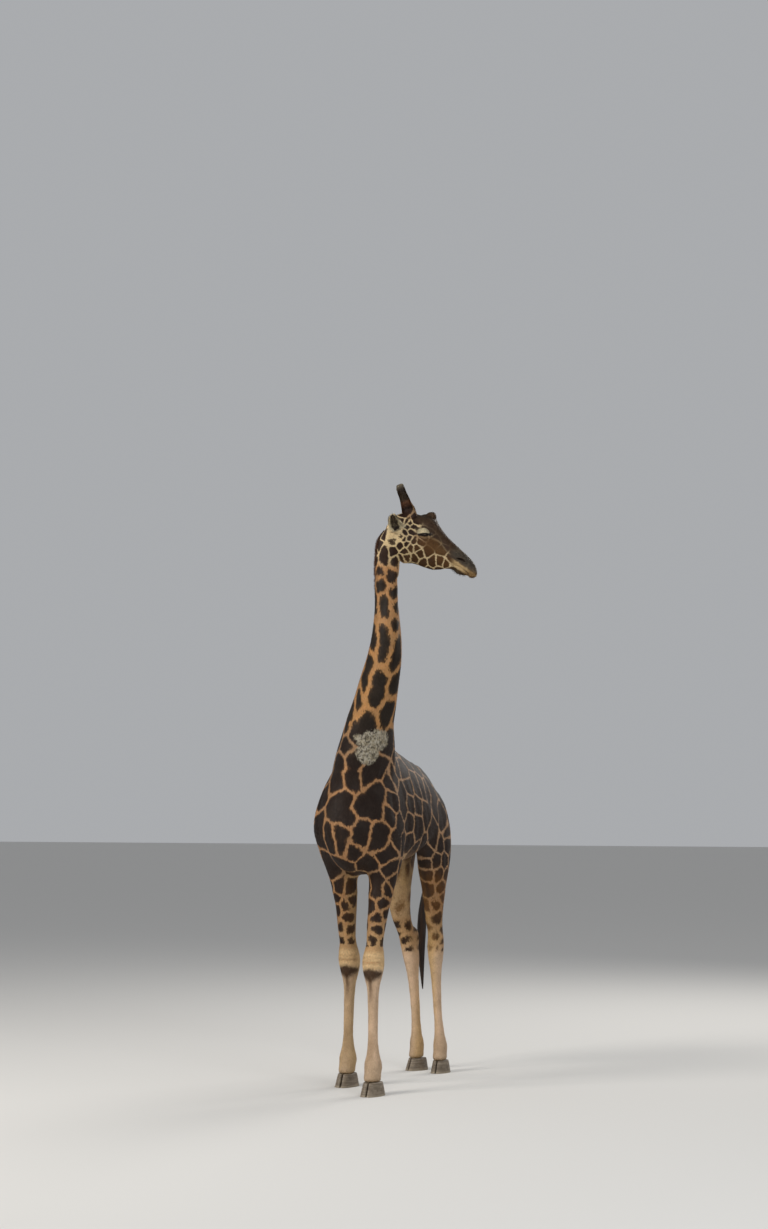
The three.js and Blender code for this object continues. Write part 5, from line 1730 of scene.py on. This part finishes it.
# %% Locks
def locks(name, root, way, out, length, width, droop, colour, segments=4, curl=0.1, uv=None,
          paint_rows=None, finish=None):
    """Ribbons from each root. way is where they set off, droop how they bend down."""
    count = len(root)
    length, width = np.broadcast_to(length, count), np.broadcast_to(width, count)
    droop = np.broadcast_to(droop, count)[:, None]
    step = (length / segments)[:, None]
    side = unit(np.cross(way, out) + 1e-6)
    at, heading = root.copy(), unit(way)
    bend = luck.normal(0, curl, (count, 1))
    rings = []
    for k in range(segments + 1):
        t = k / segments
        half = (width * (1 - t) ** 0.7 / 2)[:, None]
        if k < segments:
            rings += [at - side * half, at + side * half]
        else:
            rings += [at]
        heading = unit(heading + np.array([0, 0, -1.0]) * droop / segments + side * bend / segments)
        side = unit(side - heading * (side * heading).sum(1)[:, None])
        at = at + heading * step
    rows = np.stack(rings, 1)
    per = rows.shape[1]
    quads = [[2 * k, 2 * k + 1, 2 * k + 3] for k in range(segments - 1)]
    quads += [[2 * k, 2 * k + 3, 2 * k + 2] for k in range(segments - 1)]
    quads += [[per - 3, per - 2, per - 1]]
    faces = (np.arange(count)[:, None, None] * per + np.array(quads)).reshape(-1, 3)
    if uv is None:
        cell = np.arange(count)
        wide = int(math.ceil(math.sqrt(count)))
        uv = np.stack([(cell % wide + 0.5) / wide, (cell // wide + 0.5) / wide], 1)
        small = min(0.4 / wide, 0.0015)
    else:
        small = 0.0014
    spots = np.stack([np.tile([-small, small], per)[:per], np.linspace(-small, small, per)], 1)
    corner_map = (uv[:, None, :] + spots).reshape(-1, 2)
    tint = luck.uniform(0.75, 1.3, (count, 1))
    paint_rows = dict(paint_rows or {}, root=(root + ROW_MM) / 1000)
    paint_rows.setdefault("ground", np.asarray(colour) * tint)
    piece = make_hair_mesh(name, rows.reshape(-1, 3), faces, corner_map, paint_rows, per)
    piece.data.materials.append(finish or long_hair)
    return piece


def crest():
    """Highest skin point behind the neck at many heights."""
    z, rows, outs = np.arange(2990, 4660, 12.0), [], []
    at, run, throat, across = neck_axes(z)
    for k in range(len(z)):
        off = SKIN_MM - at[k]
        near = (np.abs(off @ run[k]) < 16) & (np.linalg.norm(off, axis=1) < 420)
        side = np.abs(off @ across[k])
        score = np.where(near & (side < 40), -(off @ throat[k]) - side * 0.4, -1e9)
        best = int(score.argmax())
        reach = -(off[best] @ throat[k])
        rows.append(at[k] - throat[k] * reach)
        outs.append(-throat[k])
    return z, np.array(rows), np.array(outs), run, across


crest_z, crest_at, crest_out, crest_run, crest_across = crest()


def along_crest(z, rows):
    return np.stack([np.interp(z, crest_z, rows[:, k]) for k in range(3)], 1)


mane_count = int(9000 * THIN)
z = luck.uniform(3030, 4650, mane_count)
off_side = luck.normal(0, 5.5, mane_count)
out, run, across = unit(along_crest(z, crest_out)), along_crest(z, crest_run), along_crest(z, crest_across)
root = along_crest(z, crest_at) + across * off_side[:, None] - out * 4
fade = ease(z, 3020, 3180) * ease(z, 4660, 4560)
warm = luck.random(mane_count)[:, None]
mane_colour = lin(44, 27, 17) * (1 - warm) + lin(92, 54, 30) * warm
mane = locks("mane_hair", root, unit(out * 0.9 + run * 0.45 + across * (off_side / 26)[:, None]), across,
             (26 + 12 * luck.random(mane_count)) * (0.35 + 0.65 * fade), 3.4, 0.35, mane_colour, 3, 0.2)

TUFT = [
    [-1, -128, 1969, 1765, 19], [0, -150, 1976, 1639, 24], [1, -164, 1984, 1560, 36], [2, -182, 1998, 1420, 54],
    [3, -196, 2008, 1260, 58], [4, -200, 2008, 1100, 48], [5, -194, 2000, 950, 34],
    [6, -184, 1988, 820, 21], [7, -174, 1976, 700, 7],
]


def tail_brush(count):
    """Long strands that leave the tail's end one after another and hang in a bundle."""
    table = Smooth(TUFT)
    start = luck.random(count) ** 1.5 * 4.1 - 0.9
    stop = np.clip(start + luck.uniform(2.2, 4.6, count), 1.4, 6.95)
    angle, far = luck.uniform(0, 2 * math.pi, count), luck.random(count) ** 0.5
    segments, width = 7, luck.uniform(4.0, 7.5, count)
    rings = []
    for k in range(segments + 1):
        t = k / segments
        place = start + (stop - start) * t
        v = table(place)
        spread_out = far * v[:, 3] * (0.62 + 0.33 * t ** 0.6)
        turn = angle + 0.5 * t
        at = np.stack([v[:, 0] + spread_out * np.cos(turn) * 0.8, v[:, 1] + spread_out * np.sin(turn), v[:, 2]], 1)
        side = np.stack([-np.sin(turn), np.cos(turn), 0 * turn], 1)
        half = (width * (1 - t) ** 0.6 / 2)[:, None]
        rings += [at - side * half, at + side * half] if k < segments else [at]
    rows = np.stack(rings, 1)
    per = rows.shape[1]
    quads = [[2 * k, 2 * k + 1, 2 * k + 3] for k in range(segments - 1)]
    quads += [[2 * k, 2 * k + 3, 2 * k + 2] for k in range(segments - 1)] + [[per - 3, per - 2, per - 1]]
    faces = (np.arange(count)[:, None, None] * per + np.array(quads)).reshape(-1, 3)
    wide = int(math.ceil(math.sqrt(count)))
    cell = np.arange(count)
    uv = np.stack([(cell % wide + 0.5) / wide, (cell // wide + 0.5) / wide], 1)
    spots = np.stack([np.tile([-1, 1], per)[:per] * 0.3 / wide, np.linspace(-1, 1, per) * 0.3 / wide], 1)
    tone = luck.random(count)[:, None] ** 2
    colour = lin(20, 13, 9) * (1 - tone) + lin(64, 42, 26) * tone
    piece = make_hair_mesh("tail_hair", rows.reshape(-1, 3), faces, (uv[:, None] + spots).reshape(-1, 2),
                           dict(root=(rows[:, 0] + ROW_MM) / 1000, ground=colour), per)
    piece.data.materials.append(long_hair)
    return piece


tail_hair = tail_brush(int(5200 * THIN))
print("mane and tail triangles:", len(mane.data.polygons), len(tail_hair.data.polygons))


# %% Lashes, ear fringes, chin hairs and feathering
def on_skin(picked, count):
    """Roots among picked skin points, with their outward directions and the map's place."""
    ends, loops, weight = skin_samples(count, picked.astype(float))
    return blended(SKIN_MM, ends, weight), unit(blended(SKIN_OUT, ends, weight)), blended(SKIN_UV, loops, weight)


def lid_edge(s, count, upper):
    along = luck.uniform(-0.97, 0.97, count) * LID_HALF
    arch = 1 - (along / LID_HALF) ** 2
    over = (LID_UP * arch + 0.8 if upper else -LID_LOW * arch - 0.8) - LID_DROP
    ball = EYE_RADIUS + LID_THICK
    gaze = np.sqrt(np.maximum(ball ** 2 - along ** 2 - over ** 2, 0))
    off = along[:, None] * EYE_ALONG + over[:, None] * EYE_OVER + gaze[:, None] * EYE_OUT
    at = EYE_AT + off
    out = unit(off)
    away = EYE_OUT * 1.0 + (EYE_OVER * -0.35 if upper else EYE_OVER * -0.5) + 0.25 * EYE_ALONG * (along / LID_HALF)[:, None]
    flip = np.array([1, s, 1])
    turn = HEAD_TO_BODY[:3, :3]
    return from_head(at * flip), unit((unit(away) * flip) @ turn.T), unit((out * flip) @ turn.T)


fringes = []
for s, side in ((1, "left"), (-1, "right")):
    for upper in (True, False):
        count = 150 if upper else 70
        root, way, out = lid_edge(s, count, upper)
        fringes.append(locks(f"lash_{'upper' if upper else 'lower'}_{side}", root, way, np.cross(way, out),
                             17 if upper else 9, 1.1, 0.8, np.tile(lin(16, 11, 9), (count, 1)), 4, 0.1))

ear_parts = []
for s in (1, -1):
    base, reach, across, up = ear_axes(s)
    off = SKIN_LOCAL - base
    t = off @ reach / (reach @ reach)
    bent = off - t[:, None] * reach
    wide = Smooth([[r[0], r[1]] for r in EAR])(np.clip(t, -0.1, 1))[:, 0]
    rim = np.abs(bent @ across) / np.maximum(wide, 8)
    front = -(bent @ up)
    near = (t > 0.16) & (t < 1.04) & (np.abs(bent @ across) < 70) & (np.abs(front) < 50)
    edge = near & (rim > 0.7) & (front > -14)
    root, out, uv = on_skin(edge, int(2600 * THIN))
    tipward = unit((reach * 1.0) @ HEAD_TO_BODY[:3, :3].T)
    inward = unit((base + reach * 0.5) @ HEAD_TO_BODY[:3, :3].T + HEAD_TO_BODY[:3, 3] - root)
    way = unit(out * 0.5 + tipward * 0.8 + inward * 0.35)
    ear_parts.append(locks("ear_edge", root, way, out, luck.uniform(12, 22, len(root)), 1.8, 0.0,
                           np.tile(lin(206, 192, 160), (len(root), 1)), 3, 0.15, uv))
    deep = near & (rim < 0.8) & (front < -6)
    root, out, uv = on_skin(deep, int(900 * THIN))
    mixed = luck.random((len(root), 1)) < 0.5
    colour = np.where(mixed, lin(150, 132, 102), lin(48, 34, 26))
    ear_parts.append(locks("ear_inside", root, unit(out * 0.6 + tipward), out, luck.uniform(14, 26, len(root)), 1.6,
                           0.0, colour, 3, 0.15, uv))
ear_hair = joined("ear_hair", ear_parts)

chin = (SIDE_LOCAL[:, 0] > 480) & (SKIN_LOCAL[:, 2] < 4) & (REGION_OF_POINT == 0)
lip = (SIDE_LOCAL[:, 0] > 560) & (SKIN_LOCAL[:, 2] < 70) & (REGION_OF_POINT == 0)
whisker_parts = []
for picked, count, long, colour in ((chin, 420, (10, 22), (52, 40, 28)), (lip, 300, (6, 13), (150, 126, 88))):
    root, out, uv = on_skin(picked, count)
    forward = np.array([0.5, 0, -0.3]) @ HEAD_TO_BODY[:3, :3].T
    whisker_parts.append(locks("whisker", root, unit(out + forward), unit(np.cross(out, [0.1, 0.2, 1])),
                               luck.uniform(*long, count), 0.9, 0.5, np.tile(lin(*colour), (count, 1)), 3, 0.2, uv))
whiskers = joined("whiskers", whisker_parts)
print("fringes:", [f.name for f in fringes] + [ear_hair.name, whiskers.name])


# %% [markdown]
# ## Horns
# A bull's horns are bone under skin: thick and haired at the root, narrow in the middle and
# swollen at the knob, which is worn bald by sparring. Each is a grid rolled up along its axis.

# %% Two horns
HORN = [[-0.3, 50], [0.04, 53], [0.16, 46], [0.3, 40], [0.5, 34.5], [0.7, 31], [0.86, 31.5],
        [0.95, 32], [0.995, 24], [1.01, 10]]
HORN_BASE, HORN_TIP = np.array([-70.0, 57, 165]), np.array([-259.0, 66, 300])


def horn(s, side):
    flip = np.array([1, s, 1])
    base, tip = HORN_BASE * flip, HORN_TIP * flip
    run = unit(tip - base)
    across = unit(np.array([0, 1.0, 0]) - run * run[1])

    def section(v, place):
        n = len(place)
        two = np.full(n, 2.0)
        r = v[:, 0] - 0.8
        return dict(at=base + place[:, None] * (tip - base), across=spread(across, n),
                    up=spread(np.cross(run, across), n), half=r * 0.92, above=r, below=r, full=two, full_below=two)

    piece = rolled(f"horn_skin_{side}", HORN, 56, 9, section)
    p, out = points_of(piece), normals_of(piece)
    t = (p - base) @ (tip - base) / ((tip - base) @ (tip - base))
    turn = np.arctan2((p - base) @ across, (p - base) @ np.cross(run, across))
    lumps = np.sin(turn * 3 + t * 9) * 0.9 + np.sin(turn * 5 - t * 17 + s) * 0.6
    knob = ease(t, 0.8, 0.95)
    lumps = lumps + knob * (np.sin(turn * 7 + 2) * np.sin(t * 90) * 0.9 - 0.8)
    notch = 2.2 * np.exp(-(((turn - 0.8) / 0.5) ** 2 + ((t - 0.9) / 0.03) ** 2))
    p = p + out * np.clip(lumps - notch, -4, 1.0)[:, None]
    set_points(piece, from_head(p))
    p = from_head(p)
    look = paints(p)
    tint = Brush(len(p), (58, 46, 32))
    tint.tint(ease(t, 0.46, 0.26), (104, 68, 46))
    tint.tint(ease(t, 0.62, 0.78), (44, 34, 26))
    tint.tint(knob, (78, 70, 58))
    look["over"] = np.column_stack([tint.rgb, ease(t, 0.08, 0.34)])
    look["scar"] = 0.4 * knob
    look["ground"] = np.tile(lin(150, 118, 84), (len(p), 1))
    for name, rows in look.items():
        write_attribute(piece.data, name, rows)
    write_attribute(piece.data, "root", (p + ROW_MM) / 1000)
    uv = piece.data.uv_layers.new(name="OFBake")
    corners = np.empty(len(piece.data.loops), np.int32)
    piece.data.loops.foreach_get("vertex_index", corners)
    only(piece)
    bpy.ops.object.mode_set(mode="EDIT")
    bpy.ops.mesh.select_all(action="SELECT")
    bpy.ops.uv.smart_project(angle_limit=math.radians(66), island_margin=0.01)
    done()
    SKIN_OF_HORN[side] = (points_of(piece), normals_of(piece), t, run, look)
    piece.data.transform(to_row)
    for face in piece.data.polygons:
        face.use_smooth = True
    return piece


SKIN_OF_HORN = {}
horns = [horn(1, "left"), horn(-1, "right")]

for piece in horns:
    piece.data.materials.append(hide)

horn_parts = []
for side in SIDES:
    p, out, t, run, look = SKIN_OF_HORN[side]
    chance = (t < 0.84) * (t > -0.3) * ease(t, 0.9, 0.6)
    pick = luck.choice(len(p), int(8000 * THIN), p=chance / chance.sum())
    upward = unit(run @ HEAD_TO_BODY[:3, :3].T)
    root = p[pick] + luck.normal(0, 2.6, (len(pick), 3))
    root = root - out[pick] * ((root - p[pick]) * out[pick]).sum(1)[:, None] - out[pick] * 0.6
    horn_parts.append(locks("horn_tuft", root, unit(out[pick] * 0.22 + upward), np.cross(out[pick], upward),
                            luck.uniform(7, 12, len(pick)), 1.9, 0.0, np.zeros((len(pick), 3)), 2, 0.1,
                            paint_rows={k: v[pick] for k, v in look.items()}, finish=short_hair))
horn_hair = joined("horn_hair", horn_parts)
print("horn faces:", [len(h.data.polygons) for h in horns], "hairs:", len(horn_hair.data.polygons))


# %% [markdown]
# ## Eyes
# Each eyeball is a true ball in its socket, nearly black, with a dark brown ring and a wide
# level pupil that only close light shows. A clear wet coat gives the highlight.

# %% Two eyeballs
def eyeball(s, side):
    at = EYE_AT * [1, s, 1]
    bpy.ops.mesh.primitive_uv_sphere_add(segments=64, ring_count=40, radius=1)
    ball = bpy.context.object
    ball.name = ball.data.name = f"eyeball_{side}"
    p = points_of(ball)
    flip = np.array([1, s, 1])
    gaze, along, over = EYE_OUT * flip, EYE_ALONG * flip, EYE_OVER * flip
    swell_out = 1 + 0.055 * ease(p[:, 2], 0.78, 0.93)
    q = (p[:, :1] * along + p[:, 1:2] * over + p[:, 2:] * gaze) * swell_out[:, None] * 29.6
    write_attribute(ball.data, "gaze", p + [0, 0.27, 0])
    set_points(ball, from_head(q + at))
    editing(ball)
    bpy.ops.mesh.select_all(action="SELECT")
    bpy.ops.mesh.normals_make_consistent(inside=False)
    done()
    ball.data.transform(to_row)
    for face in ball.data.polygons:
        face.use_smooth = True
    return ball


eyes = [eyeball(1, "left"), eyeball(-1, "right")]
wet_eye, w, shader = material("wet_eye")
split = w.node("SeparateXYZ")
w.put(w.attribute("gaze"), split.inputs[0])
across_eye = w.math("MULTIPLY", split.outputs[0], split.outputs[0])
up_eye = w.math("MULTIPLY", split.outputs[1], split.outputs[1])
round_iris = w.math("SQRT", w.math("ADD", across_eye, up_eye))
pupil = w.math("SQRT", w.math("ADD", w.math("MULTIPLY", across_eye, 0.32), w.math("MULTIPLY", up_eye, 2.4)))
fibres = w.noise(w.attribute("gaze"), 22, 3, 0.6)
iris = w.mix(w.remap(fibres, 0.3, 0.7), (0.030, 0.014, 0.006, 1), (0.075, 0.036, 0.014, 1))
white = w.mix(w.remap(fibres, 0.3, 0.7), (0.06, 0.04, 0.03, 1), (0.12, 0.09, 0.07, 1))
colour = w.mix(w.remap(round_iris, 0.74, 0.84), iris, white)
colour = w.mix(w.remap(pupil, 0.34, 0.26), colour, (0.004, 0.004, 0.006, 1))
w.put(colour, shader.inputs["Base Color"])
shader.inputs["Roughness"].default_value = 0.3
shader.inputs["Specular IOR Level"].default_value = 0.08
shader.inputs["Coat Weight"].default_value = 1.0
shader.inputs["Coat Roughness"].default_value = 0.03
for piece in eyes:
    piece.data.materials.append(wet_eye)
print("eyes:", [e.name for e in eyes])


# %% [markdown]
# ## Hooves
# Each foot stands on two claws. The frame's claws have the right sizes, so a copy of each is
# melted into a rounder solid, grown with fine level ridges and worn a little at its edge.

# %% Eight claws
def claw(node_name):
    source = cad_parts[node_name]
    piece = source.copy()
    piece.data = source.data.copy()
    for key in list(piece.keys()):
        del piece[key]
    piece.parent = None
    piece.name = piece.data.name = node_name.replace("claw", "hoof")
    bpy.context.scene.collection.objects.link(piece)
    editing(piece)
    bpy.ops.mesh.select_all(action="SELECT")
    bpy.ops.mesh.remove_doubles(threshold=1e-5)
    done()
    apply_modifier(piece, "REMESH", mode="VOXEL", voxel_size=0.0042)
    low = points_of(piece)
    flat_rim = low[:, 2] < 0.004
    soften(piece, low[:, 2] >= 0.004, 0.5, 14)
    p, out = points_of(piece), normals_of(piece)
    rings = 0.0007 * np.sin(p[:, 2] / 0.0052 * math.pi) + 0.0005 * np.sin(p[:, 2] / 0.0131 * math.pi + 1)
    level = ease(np.abs(out[:, 2]), 0.8, 0.4)
    p[:, :2] += out[:, :2] * (rings * level)[:, None]
    middle = p[:, :2].mean(0)
    p[:, :2] += (p[:, :2] - middle) * (0.02 * ease(p[:, 2], 0.022, 0.0))[:, None]
    p[:, 2] = np.where(flat_rim, 0.0, np.maximum(p[:, 2], 0.0))
    set_points(piece, p)
    for face in piece.data.polygons:
        face.use_smooth = True
    piece.data.materials.clear()
    return piece


CLAWS = [f"{end}_claw_{which}_{side}" for end in ("fore", "hind") for which in ("outer", "inner") for side in SIDES]
hooves = [claw(name) for name in CLAWS]
hoof_horn, w, shader = material("hoof_horn")
place = w.node("TexCoord").outputs["Object"]
bands = w.noise(place, 30, 3, 0.6, squash=(0.25, 0.25, 4))
stains = w.noise(place, 22, 4, 0.65)
height = w.node("SeparateXYZ")
w.put(place, height.inputs[0])
colour = w.mix(w.remap(bands, 0.35, 0.65), (0.115, 0.085, 0.055, 1), (0.21, 0.165, 0.115, 1))
colour = w.mix(w.remap(stains, 0.45, 0.75, 0, 0.7), colour, (0.07, 0.05, 0.034, 1))
colour = w.mix(w.remap(height.outputs[2], 0.03, 0.0, 0, 0.6), colour, (0.33, 0.27, 0.19, 1))
w.put(colour, shader.inputs["Base Color"])
w.put(w.remap(stains, 0.3, 0.7, 0.45, 0.7), shader.inputs["Roughness"])
bump = w.node("Bump")
bump.inputs["Strength"].default_value = 0.5
bump.inputs["Distance"].default_value = 0.002
w.put(w.math("ADD", bands, w.math("MULTIPLY", w.noise(place, 240, 3, 0.6), 0.4)), bump.inputs["Height"])
w.put(bump.outputs[0], shader.inputs["Normal"])
for piece in hooves:
    piece.data.materials.append(hoof_horn)
print("hoof faces:", [len(h.data.polygons) for h in hooves])


# %% [markdown]
# ## Which frame solids each piece stands for
# The frame keeps its plain solids for collision. Each finer piece is hung on the root body, and the frame solids that
# the finer pieces stand for are hidden.

# %% Riding and replacing
LEGS_OF_SKIN = [f"{end}_leg_{part}_{side}" for end in ("fore", "hind") for part in ("upper", "lower")
                for side in ("left", "right")]
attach(skin, "root")
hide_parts("head", "ear_left", "ear_right", "neck_upper", "neck_middle", "neck_lower", "trunk",
            "tail", *LEGS_OF_SKIN)
for piece in coat + fringes + [ear_hair, whiskers]:
    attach(piece, "root")
for piece, node in ((mane, "mane"), (tail_hair, "tail_tuft")):
    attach(piece, "root")
    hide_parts(node)
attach(horn_hair, "root")
for piece, side in zip(horns, SIDES):
    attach(piece, "root")
    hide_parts(f"horn_{side}")
for piece, side in zip(eyes, SIDES):
    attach(piece, "root")
    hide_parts(f"eye_{side}")
for piece, node in zip(hooves, CLAWS):
    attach(piece, "root")
    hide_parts(node)


# %% [markdown]
# ## Floor, light and camera
# A plain pale floor, one large soft light on each side and one above, and a long lens far
# away at the height of the animal's chest.

# %% Stage
bpy.ops.mesh.primitive_plane_add(size=240)
floor = bpy.context.object
floor.name = floor.data.name = "floor"
paper, w, shader = material("pale_floor")
shader.inputs["Base Color"].default_value = (0.62, 0.61, 0.59, 1)
shader.inputs["Roughness"].default_value = 0.9
floor.data.materials.append(paper)
floor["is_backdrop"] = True

world = bpy.data.worlds.new("studio")
world.use_nodes = True
world.node_tree.nodes["Background"].inputs["Color"].default_value = (0.80, 0.82, 0.85, 1)
world.node_tree.nodes["Background"].inputs["Strength"].default_value = 0.5
bpy.context.scene.world = world


def soft_light(name, at, aim, size, power, colour=(1, 1, 1)):
    bpy.ops.object.light_add(type="AREA", location=at)
    light = bpy.context.object
    light.name = name
    light.data.shape = "DISK"
    light.data.size, light.data.energy, light.data.color = size, power, colour
    light.rotation_euler = (Vector(aim) - Vector(at)).to_track_quat("-Z", "Y").to_euler()
    return light


soft_light("key", (-6.5, -9.0, 9.0), (0, 0, 2.6), 5.0, 1100, (1.0, 0.96, 0.9))
soft_light("fill", (10.0, -8.0, 6.0), (0, 0, 2.6), 6.0, 480, (0.95, 0.98, 1.0))
soft_light("rim", (2.0, 9.0, 9.0), (0, 0, 3.0), 6.0, 650, (1.0, 0.97, 0.92))

camera_data = bpy.data.cameras.new("camera")
camera = bpy.data.objects.new("camera", camera_data)
bpy.context.scene.collection.objects.link(camera)
camera.location = (6.9237, -16.5011, 2.355)
camera.rotation_euler = (math.radians(90 + 5.5569), 0, math.radians(24))
camera_data.sensor_fit = "VERTICAL"
camera_data.sensor_height = 36
camera_data.lens = 59.463
camera_data.clip_end = 200
bpy.context.scene.camera = camera
bpy.context.scene.view_settings.view_transform = "Standard"

# %% Sizes and finish
visual_box = [[float(v) for v in corner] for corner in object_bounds()]
print("box:", np.round(visual_box, 3).tolist(), "seconds:", round(time.time() - started, 1))
